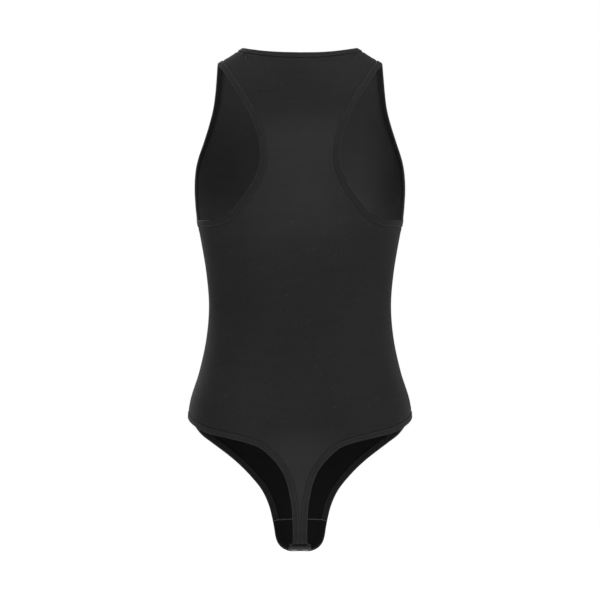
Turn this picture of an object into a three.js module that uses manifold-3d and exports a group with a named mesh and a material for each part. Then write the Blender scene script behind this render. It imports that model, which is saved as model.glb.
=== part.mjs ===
// A sleeveless racer-back leotard with a thong-cut seat and a press-stud crotch closure, in the
// shape that it takes on a torso. It is made of two stretch-jersey panels, a gusset with its
// lining, five bound openings with elastic inside, and two snap tabs that open at the crotch.
//
// Millimetres. +Z is up, -Y is the wearer's front and +X is the wearer's left. The origin is the
// middle of the waist. Levels are heights over the waist, and widths are as seen from behind.

import * as THREE from "three";
import { mergeVertices } from "three/addons/utils/BufferGeometryUtils.js";
import Module from "manifold-3d";

// ---- Sizes ----

// Levels.
const NECK_POINT = 348; // where neckline and shoulder seam meet
const SHOULDER_DROP = 22; // from there to the tip of the shoulder
const BACK_NECK_DROP = 6.5;
const FRONT_NECK_DROP = 88;
const UNDERARM = 115;
const HIP = -150; // top of the leg openings, at the side seams
const CROTCH = -330.2; // middle of the front snap tab
const GUSSET_RISE = 59.2; // from there to the seam between gusset and front

// Widths.
const NECK_WIDTH = 152;
const SHOULDER_SPAN = 222.8; // tip to tip
const RACER_WIDTH = 107; // the back at its narrowest
const CHEST_WIDTH = 300.8; // of the torso at the front armholes
const UNDERARM_WIDTH = 277.2;
const WAIST_WIDTH = 245;
const HIP_WIDTH = 301;
const GUSSET_WIDTH = 84.4; // at its seam

// Depths, from the side seam's plane to the middle of the front or back.
const BUST_DEPTH = 117;
const FRONT_WAIST_DEPTH = 79;
const BELLY_DEPTH = 101;
const BLADE_DEPTH = 90;
const BACK_WAIST_DEPTH = 66;
const SEAT_DEPTH = 107;

// Cloth.
const CLOTH = 0.9; // two layers of jersey
const CLEAR = 0.3; // between pieces that touch
const SEAM_GAP = 0.4; // between the edges of two sewn panels
const TAPE = 0.6; // binding cloth
const BINDING_WIDTH = 8.5;
const STRAP_CENTRE = 1.2; // from the middle of the strap to each of its two bindings
const ELASTIC_WIDTH = 6;
const ELASTIC = 0.5;
const SEAM_ALLOWANCE = 5;
const ALLOWANCE_THICK = 0.8;
const HEM_WIDTH = 2; // of the lining's folded edge
const SHOULDER_ALLOWANCE = 0.55; // the pressed seam between a shoulder's cloth and its tape
const SHOULDER_TAPE_WIDTH = 7;
const SHOULDER_TAPE_END = 1.8; // from each end of the tape to a binding
const LABEL = { width: 26, height: 42, thick: 0.3, level: 0.467 * HIP };

// Closure.
const CLOSURE = 26; // from the fold line of the front tab, back to that of the back tab
const CLOSURE_TILT = 10; // degrees that the snap tabs rise by, towards the back
const FRONT_FOLD_Y = -6;
const FRONT_OVERHANG = 3; // how far the front tab passes the back tab's fold line
const BACK_OVERHANG = 1;
const TAB_WIDTH = 30;
const BACK_TAB_INSET = 0.8; // how much narrower the back tab is, on each side
const TAB_CORNER = 4;
const TAB_THICK = 1.4;
const TAB_GAP = 1.2; // from the gusset's end, or the strap's, to the fold line of its tab
const EDGE_EASE = 1.8; // how much sooner the leg bindings end than the cloth between them
const SNAP_RADIUS = 4.75;
const SNAP_MARGIN = 2.5; // from the side of the front tab to a cap
const CAP_THICK = 0.8;
const POST_RADIUS = 1.9;
const SOCKET_THICK = 1.7;
const STUD_RADIUS = 1.6;
const STUD_BASE = 0.6;
const STUD_PLAY = 0.5; // all round the stud, in the socket's mouth
const RING_THICK = 0.7;
const RING_PLAY = 0.5; // all round the stud's tail

// How the meshes follow the lines: the rise of the underarm row to the side seam, and the number of
// pieces of each line.
const UNDERARM_RISE = 20;
const NECK_STEPS = 6;
const SHOULDER_STEPS = 2;
const FRONT_ARMHOLE_STEPS = 14;
const BACK_ARMHOLE_STEPS = 20;
const SIDE_STEPS = 8;
const LEG_STEPS = 10;
const GUSSET_STEPS = 9;
const LINING_START = 2; // the row of the gusset that its lining starts at
const STRAP_STEPS = 6;
const ROUND_STEPS = 20;

// ---- Curves ----

/** The slope at each of a list of [at, value] points: the mean of its neighbours' slopes. */
function slopes(points) {
  const rise = points.slice(1).map((p, i) => (p[1] - points[i][1]) / (p[0] - points[i][0]));
  return points.map((p, i) => {
    if (i === 0) return rise[0];
    if (i === points.length - 1) return rise[i - 1];
    const before = p[0] - points[i - 1][0];
    const after = points[i + 1][0] - p[0];
    return (rise[i - 1] * after + rise[i] * before) / (before + after);
  });
}

/** A smooth function through [at, value] points in rising order, flat outside them. */
function smooth(points) {
  const slope = slopes(points);
  return (at) => {
    if (at <= points[0][0]) return points[0][1];
    const i = points.findIndex((p) => p[0] >= at);
    if (i < 0) return points[points.length - 1][1];
    const [x0, y0] = points[i - 1];
    const [x1, y1] = points[i];
    const h = x1 - x0;
    const t = (at - x0) / h;
    const start = y0 * (1 + 2 * t) + slope[i - 1] * h * t;
    const end = y1 * (3 - 2 * t) - slope[i] * h * (1 - t);
    return start * (1 - t) ** 2 + end * t ** 2;
  };
}

const mix = (a, b, share) => a + (b - a) * share;
const degrees = (angle) => (angle * Math.PI) / 180;
const SIDE = Math.PI / 2; // the angle of the side seams, from the middle of the front or back

// ---- The torso ----

const tipX = SHOULDER_SPAN / 2;
const tipZ = NECK_POINT - SHOULDER_DROP;
const neckX = NECK_WIDTH / 2;
const ridgeSlope = SHOULDER_DROP / (tipX - neckX);
const chestRise = tipZ - UNDERARM;
const gussetSeam = CROTCH + GUSSET_RISE;

// The back tab lies on the front tab, with a socket and the foot of a stud between them.
const tabRise = TAB_THICK + SOCKET_THICK + STUD_BASE + 3 * CLEAR;
const tilt = degrees(CLOSURE_TILT);
const backFoldY = FRONT_FOLD_Y + CLOSURE * Math.cos(tilt) - tabRise * Math.sin(tilt);
const backFoldZ = CROTCH + CLOSURE * Math.sin(tilt) + tabRise * Math.cos(tilt);

/** Levels by share: waist to hip, waist to underarm, underarm to shoulder tip, and hip to crotch. */
const belly = (share) => share * HIP;
const trunk = (share) => share * UNDERARM;
const chest = (share) => UNDERARM + share * chestRise;
const seat = (share) => mix(HIP, CROTCH, share);
const turnTop = seat(0.277); // where the middle line stops being measured by height

/** Half the torso's width at a level. */
const halfWidth = smooth([
  [HIP, HIP_WIDTH / 2],
  [belly(0.88), mix(WAIST_WIDTH, HIP_WIDTH, 0.93) / 2],
  [belly(0.593), mix(WAIST_WIDTH, HIP_WIDTH, 0.47) / 2],
  [belly(0.3), mix(WAIST_WIDTH, HIP_WIDTH, 0.13) / 2],
  [0, WAIST_WIDTH / 2],
  [trunk(0.39), mix(WAIST_WIDTH, UNDERARM_WIDTH, 0.22) / 2],
  [trunk(0.774), mix(WAIST_WIDTH, UNDERARM_WIDTH, 0.68) / 2],
  [UNDERARM, UNDERARM_WIDTH / 2],
  [chest(0.095), mix(UNDERARM_WIDTH, CHEST_WIDTH, 0.43) / 2],
  [chest(0.194), mix(UNDERARM_WIDTH, CHEST_WIDTH, 0.78) / 2],
  [chest(0.318), CHEST_WIDTH / 2],
  [chest(0.502), 0.987 * CHEST_WIDTH / 2],
  [chest(0.711), 0.967 * CHEST_WIDTH / 2],
  [chest(0.915), 0.94 * CHEST_WIDTH / 2],
  [chest(1.2), 0.88 * CHEST_WIDTH / 2],
]);

/** How far in front of the side seams the middle of the front is, at a level. */
const frontDepth = smooth([
  [turnTop, 0.96 * BELLY_DEPTH],
  [belly(1.03), BELLY_DEPTH],
  [belly(0.667), 0.95 * BELLY_DEPTH],
  [belly(0.333), mix(FRONT_WAIST_DEPTH, BELLY_DEPTH, 0.44)],
  [0, FRONT_WAIST_DEPTH],
  [trunk(0.435), mix(FRONT_WAIST_DEPTH, BUST_DEPTH, 0.2)],
  [trunk(0.87), mix(FRONT_WAIST_DEPTH, BUST_DEPTH, 0.66)],
  [chest(0.166), BUST_DEPTH],
  [chest(0.308), 0.985 * BUST_DEPTH],
  [chest(0.498), 0.88 * BUST_DEPTH],
  [chest(0.687), 0.74 * BUST_DEPTH],
  [chest(0.877), 0.62 * BUST_DEPTH],
  [chest(1.2), 0.5 * BUST_DEPTH],
]);

/** The same behind, for the back. */
const backDepth = smooth([
  [turnTop, 0.89 * SEAT_DEPTH],
  [belly(1.13), 0.985 * SEAT_DEPTH],
  [belly(0.93), SEAT_DEPTH],
  [belly(0.667), 0.94 * SEAT_DEPTH],
  [belly(0.333), mix(BACK_WAIST_DEPTH, SEAT_DEPTH, 0.46)],
  [0, BACK_WAIST_DEPTH],
  [trunk(0.52), mix(BACK_WAIST_DEPTH, BLADE_DEPTH, 0.24)],
  [chest(0.024), mix(BACK_WAIST_DEPTH, BLADE_DEPTH, 0.62)],
  [chest(0.355), 0.98 * BLADE_DEPTH],
  [chest(0.592), BLADE_DEPTH],
  [chest(0.829), 0.9 * BLADE_DEPTH],
  [chest(1.2), 0.68 * BLADE_DEPTH],
]);

/** How square the torso's section is: 0 for an ellipse. */
const frontSquare = smooth([
  [CROTCH, 0.1],
  [HIP, 0.3],
  [belly(0.4), 0.28],
  [0, 0.22],
  [trunk(0.7), 0.32],
  [chest(0.166), 0.62],
  [chest(0.403), 0.55],
  [chest(0.687), 0.35],
  [chest(1.1), 0.2],
]);
const backSquare = smooth([
  [CROTCH, 0.1],
  [seat(0.444), 0.35],
  [belly(0.933), 0.6],
  [belly(0.4), 0.35],
  [0, 0.22],
  [trunk(0.87), 0.35],
  [chest(0.545), 0.5],
  [chest(1.1), 0.3],
]);

/**
 * The middle of the front from the belly to the snap tab, as a curve that turns under the crotch.
 * It is [length along the cloth, y, z]; down to the gusset's seam the length is the height.
 */
const gussetTop = -frontDepth(turnTop) + 20;
const frontTurn = [
  [turnTop, -frontDepth(turnTop), turnTop],
  [
    mix(turnTop, gussetSeam, 0.563),
    mix(-frontDepth(turnTop), gussetTop, 0.42),
    mix(turnTop, gussetSeam, 0.56),
  ],
  [gussetSeam, gussetTop, gussetSeam + 0.6],
  [gussetSeam - 22, mix(gussetTop, FRONT_FOLD_Y, 0.14), mix(gussetSeam, CROTCH, 0.34)],
  [gussetSeam - 44, mix(gussetTop, FRONT_FOLD_Y, 0.33), mix(gussetSeam, CROTCH, 0.63)],
  [gussetSeam - 66, mix(gussetTop, FRONT_FOLD_Y, 0.58), mix(gussetSeam, CROTCH, 0.85)],
  [gussetSeam - 86, mix(gussetTop, FRONT_FOLD_Y, 0.83), mix(gussetSeam, CROTCH, 0.97)],
  [gussetSeam - 99, FRONT_FOLD_Y, CROTCH],
  [gussetSeam - 119, FRONT_FOLD_Y + 20 * Math.cos(tilt), CROTCH + 20 * Math.sin(tilt)],
];
const gussetEnd = frontTurn[7][0] + TAB_GAP;

const turnY = backFoldY + 6.5;

/** The middle of the back below the seat, down the strap, to the fold of the back tab. */
const strapTop = backDepth(turnTop);
const strapLevel = (share) => mix(turnTop, CROTCH, share);
const backTurn = [
  [turnTop, strapTop, turnTop],
  [strapLevel(0.246), mix(strapTop, turnY, 0.2), strapLevel(0.238)],
  [strapLevel(0.508), mix(strapTop, turnY, 0.46), strapLevel(0.461)],
  [strapLevel(0.769), mix(strapTop, turnY, 0.74), strapLevel(0.677)],
  [CROTCH + 2, mix(strapTop, turnY, 0.935), backFoldZ + 15],
  [CROTCH - 12, turnY + 0.6, backFoldZ + 5],
  [CROTCH - 19, backFoldY + 3.4, backFoldZ + 0.9],
  [CROTCH - 22.6, backFoldY, backFoldZ],
  [CROTCH - 42.6, backFoldY - 20 * Math.cos(tilt), backFoldZ - 20 * Math.sin(tilt)],
];
const strapEnd = backTurn[7][0] + TAB_GAP;

/** The [y, z] of a curve of [along, y, z] points, and of the body above it. */
function meridian(turn, depth, sign) {
  const rising = [...turn].reverse();
  const y = smooth(rising.map((p) => [p[0], p[1]]));
  const z = smooth(rising.map((p) => [p[0], p[2]]));
  const join = turn[0][0];
  return (along) => (along >= join ? [sign * depth(along), along] : [y(along), z(along)]);
}

const ridgeHeight = (x) => NECK_POINT + (neckX - Math.abs(x)) * ridgeSlope;

/** Each half of the torso. reach is how far down from the ridge its shoulder rounds over. */
const FRONT = {
  sign: -1,
  middle: meridian(frontTurn, frontDepth, -1),
  square: frontSquare,
  reach: 0.5 * chestRise,
  armholeSteps: FRONT_ARMHOLE_STEPS,
};
const BACK = {
  sign: 1,
  middle: meridian(backTurn, backDepth, 1),
  square: backSquare,
  reach: 0.38 * chestRise,
  armholeSteps: BACK_ARMHOLE_STEPS,
};

/** How far back the torso is at a place, before its shoulders are rounded. */
function flatY(half, angle, along) {
  const [y, z] = half.middle(along);
  const round = Math.cos(angle) * (1 + half.square(z) * Math.sin(angle) ** 2);
  return [y * round, z];
}

/**
 * A point of the torso. angle runs from the middle, 0, to the side seam, 90 degrees; along is the
 * height, and below the leg openings the length down the cloth. The shoulders round over as a
 * quarter of an ellipse.
 */
function torso(half, angle, along) {
  const [flat, z] = flatY(half, angle, along);
  const x = halfWidth(z) * Math.sin(angle);
  const below = THREE.MathUtils.clamp((ridgeHeight(x) - z) / half.reach, 0, 1);
  const y = flat * Math.sqrt(1 - (1 - below) ** 2) + (half.sign * SEAM_GAP) / 2;
  return new THREE.Vector3(x, y, z);
}

/** The outward normal of the torso there. */
function torsoNormal(half, angle, along) {
  const p = torso(half, angle, along);
  if (ridgeHeight(p.x) - p.z < half.reach) return shoulderNormal(half, p);
  const across = torso(half, angle + 1e-3, along).sub(torso(half, angle - 1e-3, along));
  const up = torso(half, angle, along + 0.05).sub(torso(half, angle, along - 0.05));
  return across.cross(up).multiplyScalar(-half.sign).normalize();
}

/** The normal where the shoulder rounds over, as the slope of (y/flat)^2 + (1 - below)^2. */
function shoulderNormal(half, p) {
  const level = (x, y, z) => {
    const angle = Math.asin(THREE.MathUtils.clamp(x / halfWidth(z), -1, 1));
    const below = (ridgeHeight(x) - z) / half.reach;
    return (y / flatY(half, angle, z)[0]) ** 2 + (1 - below) ** 2;
  };
  const y = p.y - (half.sign * SEAM_GAP) / 2;
  const d = 0.02;
  return new THREE.Vector3(
    level(p.x + d, y, p.z) - level(p.x - d, y, p.z),
    level(p.x, y + d, p.z) - level(p.x, y - d, p.z),
    level(p.x, y, p.z + d) - level(p.x, y, p.z - d),
  ).normalize();
}

// ---- The edges of the cloth ----

/** The place, [angle, along], of a point seen from behind at x and z. */
const seen = (x, z) => [Math.asin(Math.min(1, x / halfWidth(z))), z];
/** The place of a half width across the cloth, at a length along it below the leg openings. */
const across = (half, x, along) => [Math.asin(x / halfWidth(half.middle(along)[1])), along];

const strapHalf = BINDING_WIDTH + STRAP_CENTRE;
const tabHalf = TAB_WIDTH / 2;
const racerHalf = RACER_WIDTH / 2;
const frontHem = (share, level) => seen((share * HIP_WIDTH) / 2, mix(HIP, gussetSeam, level));
const gussetHem = (width, length) =>
  across(FRONT, mix(tabHalf, GUSSET_WIDTH / 2, width), mix(gussetSeam, gussetEnd, length));
const racer = (share, level) => seen(mix(racerHalf, tipX, share), chest(level));
const blade = (share, level) => seen(mix(racerHalf, UNDERARM_WIDTH / 2, share), chest(level));
const seatHem = (share, level) => seen(mix(strapHalf, HIP_WIDTH / 2, share), seat(level));
const strapHem = (extra, level) => across(BACK, strapHalf + extra, seat(level));

const EDGES = {
  frontNeck: [
    [0, NECK_POINT - FRONT_NECK_DROP],
    seen(0.3 * neckX, NECK_POINT - 0.97 * FRONT_NECK_DROP),
    seen(0.56 * neckX, NECK_POINT - 0.85 * FRONT_NECK_DROP),
    seen(0.78 * neckX, NECK_POINT - 0.62 * FRONT_NECK_DROP),
    seen(0.92 * neckX, NECK_POINT - 0.34 * FRONT_NECK_DROP),
    seen(0.985 * neckX, NECK_POINT - 0.12 * FRONT_NECK_DROP),
    seen(neckX, NECK_POINT),
  ],
  backNeck: [
    [0, NECK_POINT - BACK_NECK_DROP],
    seen(0.3 * neckX, NECK_POINT - 0.93 * BACK_NECK_DROP),
    seen(0.6 * neckX, NECK_POINT - 0.68 * BACK_NECK_DROP),
    seen(0.85 * neckX, NECK_POINT - 0.3 * BACK_NECK_DROP),
    seen(neckX, NECK_POINT),
  ],
  frontArmhole: [
    seen(tipX, tipZ),
    [degrees(53), chest(0.915)],
    [degrees(53.1), chest(0.81)],
    [degrees(54.1), chest(0.711)],
    [degrees(57.1), chest(0.607)],
    [degrees(61.4), chest(0.502)],
    [degrees(66), chest(0.403)],
    [degrees(70), chest(0.299)],
    [degrees(74), chest(0.194)],
    [degrees(78.5), chest(0.095)],
    [degrees(84), chest(0.024)],
    [SIDE, UNDERARM],
  ],
  backArmhole: [
    seen(tipX, tipZ),
    racer(0.794, 0.929),
    racer(0.622, 0.853),
    racer(0.423, 0.772),
    racer(0.155, 0.621),
    racer(0.01, 0.464),
    blade(0.019, 0.351),
    blade(0.092, 0.27),
    blade(0.2, 0.194),
    blade(0.341, 0.118),
    blade(0.505, 0.043),
    blade(0.67, 0.012),
    [degrees(72), chest(0.002)],
    [SIDE, UNDERARM],
  ],
  frontLeg: [
    [SIDE, HIP],
    frontHem(0.96, 0.074),
    frontHem(0.88, 0.207),
    frontHem(0.787, 0.298),
    frontHem(0.6, 0.479),
    frontHem(0.45, 0.661),
    frontHem(0.34, 0.835),
    gussetHem(1, 0),
  ],
  gusset: [
    gussetHem(1, 0),
    gussetHem(0.857, 0.153),
    gussetHem(0.743, 0.337),
    gussetHem(0.669, 0.511),
    gussetHem(0.559, 0.654),
    gussetHem(0.382, 0.787),
    gussetHem(0.169, 0.9),
    across(FRONT, tabHalf, gussetEnd + EDGE_EASE),
  ],
  backLeg: [
    [SIDE, HIP],
    seatHem(0.925, 0.072),
    seatHem(0.807, 0.117),
    seatHem(0.636, 0.15),
    seatHem(0.465, 0.183),
    seatHem(0.313, 0.2275),
    seatHem(0.192, 0.311),
    seatHem(0.0995, 0.411),
    strapHem(7.4, 0.51),
    strapHem(4.4, 0.6),
    strapHem(1.8, 0.688),
  ],
  strap: [
    strapHem(1.8, 0.688),
    strapHem(0.6, 0.794),
    strapHem(0, 0.9),
    across(BACK, strapHalf, strapEnd + EDGE_EASE),
  ],
};

/** count + 1 places along a list of them, evenly spaced on the torso. */
function spaced(half, places, count) {
  const lengths = [0];
  places.slice(1).forEach((p, i) => {
    lengths.push(lengths[i] + torso(half, ...p).distanceTo(torso(half, ...places[i])));
  });
  const angle = smooth(places.map((p, i) => [lengths[i], p[0]]));
  const along = smooth(places.map((p, i) => [lengths[i], p[1]]));
  const fine = 400;
  const points = Array.from({ length: fine + 1 }, (_, i) => {
    const at = (lengths[lengths.length - 1] * i) / fine;
    return [angle(at), along(at)];
  });
  const run = [0];
  for (let i = 1; i <= fine; i += 1) {
    run.push(run[i - 1] + torso(half, ...points[i]).distanceTo(torso(half, ...points[i - 1])));
  }
  return Array.from({ length: count + 1 }, (_, k) => {
    if (k === count) return places[places.length - 1];
    const at = (run[fine] * k) / count;
    const i = Math.max(1, run.findIndex((r) => r >= at));
    const share = (at - run[i - 1]) / (run[i] - run[i - 1] || 1);
    return [mix(points[i - 1][0], points[i][0], share), mix(points[i - 1][1], points[i][1], share)];
  });
}

/** A place moved on the torso by a vector that lies along its surface. */
function moved(half, [angle, along], vector) {
  const turn = torso(half, angle + 1e-3, along).sub(torso(half, angle - 1e-3, along)).divideScalar(2e-3);
  const up = torso(half, angle, along + 0.05).sub(torso(half, angle, along - 0.05)).divideScalar(0.1);
  const [a, b, c] = [turn.dot(turn), turn.dot(up), up.dot(up)];
  const [p, q] = [turn.dot(vector), up.dot(vector)];
  const det = a * c - b * b;
  return [angle + (p * c - q * b) / det, along + (q * a - p * b) / det];
}

/**
 * The line a distance inside an edge. Every edge runs away from the middle or down, so the cloth is
 * on its left at the back and on its right at the front, seen from outside. The two ends are given,
 * because they lie on seams.
 */
function inset(half, edge, distance, first, last) {
  return edge.map((place, i) => {
    if (i === 0) return first;
    if (i === edge.length - 1) return last;
    const run = torso(half, ...edge[i + 1]).sub(torso(half, ...edge[i - 1])).normalize();
    const inward = torsoNormal(half, ...place).cross(run).normalize();
    return moved(half, place, inward.multiplyScalar(distance * half.sign));
  });
}

// ---- Sheets of cloth ----

/**
 * Rows of places between a top line, a middle line of levels, an outer line and a bottom line. A row
 * runs straight from the middle to the outer line, and takes on the shape of the top or bottom line
 * near them.
 */
function patch(top, bottom, middle, outer) {
  const columns = top.length - 1;
  const bend = (line, u, c) => [
    line[c][0] / line[columns][0] - u,
    line[c][1] - mix(line[0][1], line[columns][1], u),
  ];
  return middle.map((level, r) => {
    const v = r / (middle.length - 1);
    return top.map((_, c) => {
      const u = c / columns;
      const [topAngle, topAlong] = bend(top, u, c);
      const [bottomAngle, bottomAlong] = bend(bottom, u, c);
      const share = u + topAngle * (1 - v) ** 4 + bottomAngle * v ** 4;
      const along = mix(level, outer[r][1], u) + topAlong * (1 - v) ** 4 + bottomAlong * v ** 4;
      return [outer[r][0] * share, along];
    });
  });
}

/** Levels down the middle, half evenly spaced and half keeping level with an outer line. */
function levels(from, to, outer) {
  const drop = outer[0][1] - outer.at(-1)[1];
  const share = (i) => 0.5 * (i / (outer.length - 1) + (outer[0][1] - outer[i][1]) / drop);
  return outer.map((_, i) => mix(from, to, share(i)));
}

/** A surface of triangles on one half of the torso, which is then given its thickness. */
class Cloth {
  constructor(half) {
    this.half = half;
    this.places = [];
    this.triangles = [];
    this.index = new Map();
  }

  /** The number of the vertex at a place; places that agree to a micrometre are one vertex. */
  vertex(place) {
    const key = place.map((x) => x.toFixed(6)).join();
    if (!this.index.has(key)) {
      this.index.set(key, this.places.length);
      this.places.push(place);
    }
    return this.index.get(key);
  }

  /** A grid of places, given as rows of the wearer's left, and its mirror image if asked. */
  grid(rows, mirrored = true) {
    const flip = ([angle, along]) => [-angle || 0, along];
    rows.slice(1).forEach((row, r) => {
      row.slice(1).forEach((_, c) => {
        const corners = [rows[r][c], rows[r][c + 1], row[c + 1], row[c]];
        this.face(corners);
        if (mirrored) this.face(corners.map(flip).reverse());
      });
    });
    return this;
  }

  /** A four-sided face, cut on its shorter diagonal. */
  face(corners) {
    const at = corners.map((place) => torso(this.half, ...place));
    const first = at[0].distanceTo(at[2]) < at[1].distanceTo(at[3]) ? 0 : 1;
    const ring = this.half.sign < 0 ? [...corners].reverse() : corners;
    const start = this.half.sign < 0 ? 1 - first : first;
    const [p, q, r, s] = [0, 1, 2, 3].map((i) => this.vertex(ring[(start + i) % 4]));
    [
      [p, q, r],
      [p, r, s],
    ]
      .filter((t) => new Set(t).size === 3)
      .forEach((t) => this.triangles.push(t));
  }

  /** The closed solid between two offsets from the torso. */
  solid(inner, outer) {
    const n = this.places.length;
    const at = this.places.map((place) => [torso(this.half, ...place), torsoNormal(this.half, ...place)]);
    const layer = (offset) => at.map(([p, normal]) => p.clone().addScaledVector(normal, offset));
    const points = [...layer(outer), ...layer(inner)];
    const once = new Map();
    this.triangles.forEach((t) => {
      t.forEach((a, i) => {
        const b = t[(i + 1) % 3];
        if (!once.delete(b + ":" + a)) once.set(a + ":" + b, [a, b]);
      });
    });
    const rim = [...once.values()].flatMap(([a, b]) => [
      [b, a, a + n],
      [b, a + n, b + n],
    ]);
    const under = this.triangles.map(([a, b, c]) => [a + n, c + n, b + n]);
    return geometry(points, [...this.triangles, ...under, ...rim]);
  }
}

/** A geometry from points and triangles. */
function geometry(points, triangles) {
  const g = new THREE.BufferGeometry();
  g.setAttribute("position", new THREE.Float32BufferAttribute(points.flatMap((p) => p.toArray()), 3));
  g.setIndex(triangles.flat());
  g.computeVertexNormals();
  return g;
}

// ---- The panels ----

const wrap = CLEAR + TAPE; // how far a binding stands past the edge of its cloth
const held = BINDING_WIDTH - wrap; // how much cloth it covers
const ridge = (x) => seen(x, ridgeHeight(x));

/** An edge of an opening, moved in by what the binding wraps, with its ends kept on the seams. */
function clothEdge(half, places, count, first, last) {
  return inset(half, spaced(half, places, count), wrap, first, last);
}

const tipEdge = ridge(tipX - wrap);
const tipInset = ridge(tipX - wrap - held);
const neckEdge = ridge(neckX + wrap);
const neckInset = ridge(neckX + wrap + held);
const underarmEdge = [SIDE, UNDERARM - wrap];
const underarmInset = [SIDE, UNDERARM - wrap - held];
const hipEdge = [SIDE, HIP + wrap];
const hipInset = [SIDE, HIP + wrap + held];
const steps = (a, b, count) => Array.from({ length: count + 1 }, (_, i) => mix(a, b, i / count));

/** The neck, armhole and side lines of one half, each as edge and inset places. */
function halfLines(half, neckPlaces, armholePlaces) {
  const middleNeck = neckPlaces[0][1];
  const neck = clothEdge(half, neckPlaces, NECK_STEPS, [0, middleNeck - wrap], neckEdge);
  const armhole = clothEdge(half, armholePlaces, half.armholeSteps, tipEdge, underarmEdge);
  return {
    neck,
    neckIn: inset(half, neck, held, [0, middleNeck - wrap - held], neckInset),
    armhole,
    armholeIn: inset(half, armhole, held, tipInset, underarmInset),
    side: steps(underarmInset[1], hipInset[1], SIDE_STEPS).map((z) => [SIDE, z]),
    shoulder: steps(neckX + wrap + held, tipX - wrap - held, SHOULDER_STEPS).map(ridge),
  };
}

/** The panel of one half, from its lines, its leg edge and its bottom line. */
function panel(half, lines, leg, legIn, bottomLevel) {
  const top = [...lines.neckIn, ...lines.shoulder.slice(1)];
  const outer = [...lines.armholeIn, ...lines.side.slice(1), ...legIn.slice(1)];
  const bottomPlace = legIn[legIn.length - 1];
  const bottom = steps(0, bottomPlace[0], top.length - 1).map((angle) => [
    angle,
    mix(bottomLevel, bottomPlace[1], (angle / bottomPlace[0]) ** 2),
  ]);
  const underarm = underarmInset[1] - UNDERARM_RISE;
  const middle = [
    ...levels(lines.neckIn[0][1], underarm, lines.armholeIn),
    ...steps(underarm, hipInset[1], SIDE_STEPS).slice(1),
    ...levels(hipInset[1], bottomLevel, legIn).slice(1),
  ];
  const rows = patch(top, bottom, middle, outer);
  const cloth = new Cloth(half)
    .grid(rows)
    .grid([lines.neck, lines.neckIn])
    .grid(lines.armhole.map((edge, i) => [lines.armholeIn[i], edge]))
    .grid(leg.map((edge, i) => [legIn[i], edge]));
  return { rows, cloth };
}

const frontLines = halfLines(FRONT, EDGES.frontNeck, EDGES.frontArmhole);
const backLines = halfLines(BACK, EDGES.backNeck, EDGES.backArmhole);

/** The place a distance towards the middle, on the line across the cloth at a length along it. */
const towardsMiddle = (half, [angle, along], distance) =>
  across(half, halfWidth(half.middle(along)[1]) * Math.sin(angle) - distance, along);

/** A leg line: its edge and inset, from the first pair of places given to a line across. */
function legLines(half, places, count, firstEdge, firstInset) {
  const last = places[places.length - 1];
  const edge = clothEdge(half, places, count, firstEdge, towardsMiddle(half, last, wrap));
  return {
    edge,
    inset: inset(half, edge, held, firstInset, towardsMiddle(half, last, BINDING_WIDTH)),
  };
}

const frontLeg = legLines(FRONT, EDGES.frontLeg, LEG_STEPS, hipEdge, hipInset);
const gussetLeg = legLines(FRONT, EDGES.gusset, GUSSET_STEPS, frontLeg.edge.at(-1), frontLeg.inset.at(-1));
const seatLeg = legLines(BACK, EDGES.backLeg, LEG_STEPS, hipEdge, hipInset);
const strapLeg = legLines(BACK, EDGES.strap, STRAP_STEPS, seatLeg.edge.at(-1), seatLeg.inset.at(-1));
const backLeg = {
  edge: [...seatLeg.edge, ...strapLeg.edge.slice(1)],
  inset: [...seatLeg.inset, ...strapLeg.inset.slice(1)],
};

/** Lines whose last pair is moved along the cloth, to leave a seam's gap. */
const trimmed = (places, at, by) =>
  places.map((p, i) => (i === at ? [p[0], p[1] + by] : p));

const frontPanel = panel(
  FRONT,
  frontLines,
  trimmed(frontLeg.edge, LEG_STEPS, SEAM_GAP / 2),
  trimmed(frontLeg.inset, LEG_STEPS, SEAM_GAP / 2),
  gussetSeam + SEAM_GAP / 2,
);
const backPanel = panel(BACK, backLines, backLeg.edge, backLeg.inset, strapEnd);

/** The gusset: rows across from the middle to the leg edge, ending at the tab. */
function gussetCloth() {
  const edge = trimmed(gussetLeg.edge, 0, -SEAM_GAP / 2);
  const line = trimmed(gussetLeg.inset, 0, -SEAM_GAP / 2);
  const rows = line.map(([angle, along], i) => {
    const middle = mix(edge[0][1], gussetEnd, i / GUSSET_STEPS);
    return steps(0, 1, 4).map((u) => [angle * u, mix(middle, along, u * u)]);
  });
  return new Cloth(FRONT).grid(rows.map((row, i) => [...row, edge[i]]));
}

// ---- Bindings and elastics ----

/** A station of a binding: edge and inset points with their normals. */
function station(half, edge, line) {
  return {
    edge: torso(half, ...edge),
    inset: torso(half, ...line),
    edgeNormal: torsoNormal(half, ...edge),
    insetNormal: torsoNormal(half, ...line),
  };
}

const stations = (half, edges, lines) => edges.map((edge, i) => station(half, edge, lines[i]));

/** The station halfway between two, where two panels meet at a seam. */
function meet(a, b) {
  const middle = (key) => a[key].clone().add(b[key]).multiplyScalar(0.5);
  return {
    edge: middle("edge"),
    inset: middle("inset"),
    edgeNormal: middle("edgeNormal").normalize(),
    insetNormal: middle("insetNormal").normalize(),
  };
}

/** A station mirrored to the wearer's other side. */
function mirror(s) {
  return Object.fromEntries(
    Object.entries(s).map(([key, v]) => [key, new THREE.Vector3(-v.x, v.y, v.z)]),
  );
}

/** The point of a station's section: out past the edge, and up from the cloth's middle. */
function section(s, out, up) {
  const across = s.edge.clone().sub(s.inset);
  const width = across.length();
  const share = THREE.MathUtils.clamp(1 + out / width, 0, 1);
  const normal = s.insetNormal.clone().lerp(s.edgeNormal, share).normalize();
  return s.inset
    .clone()
    .addScaledVector(across, 1 + out / width)
    .addScaledVector(normal, up);
}

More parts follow.
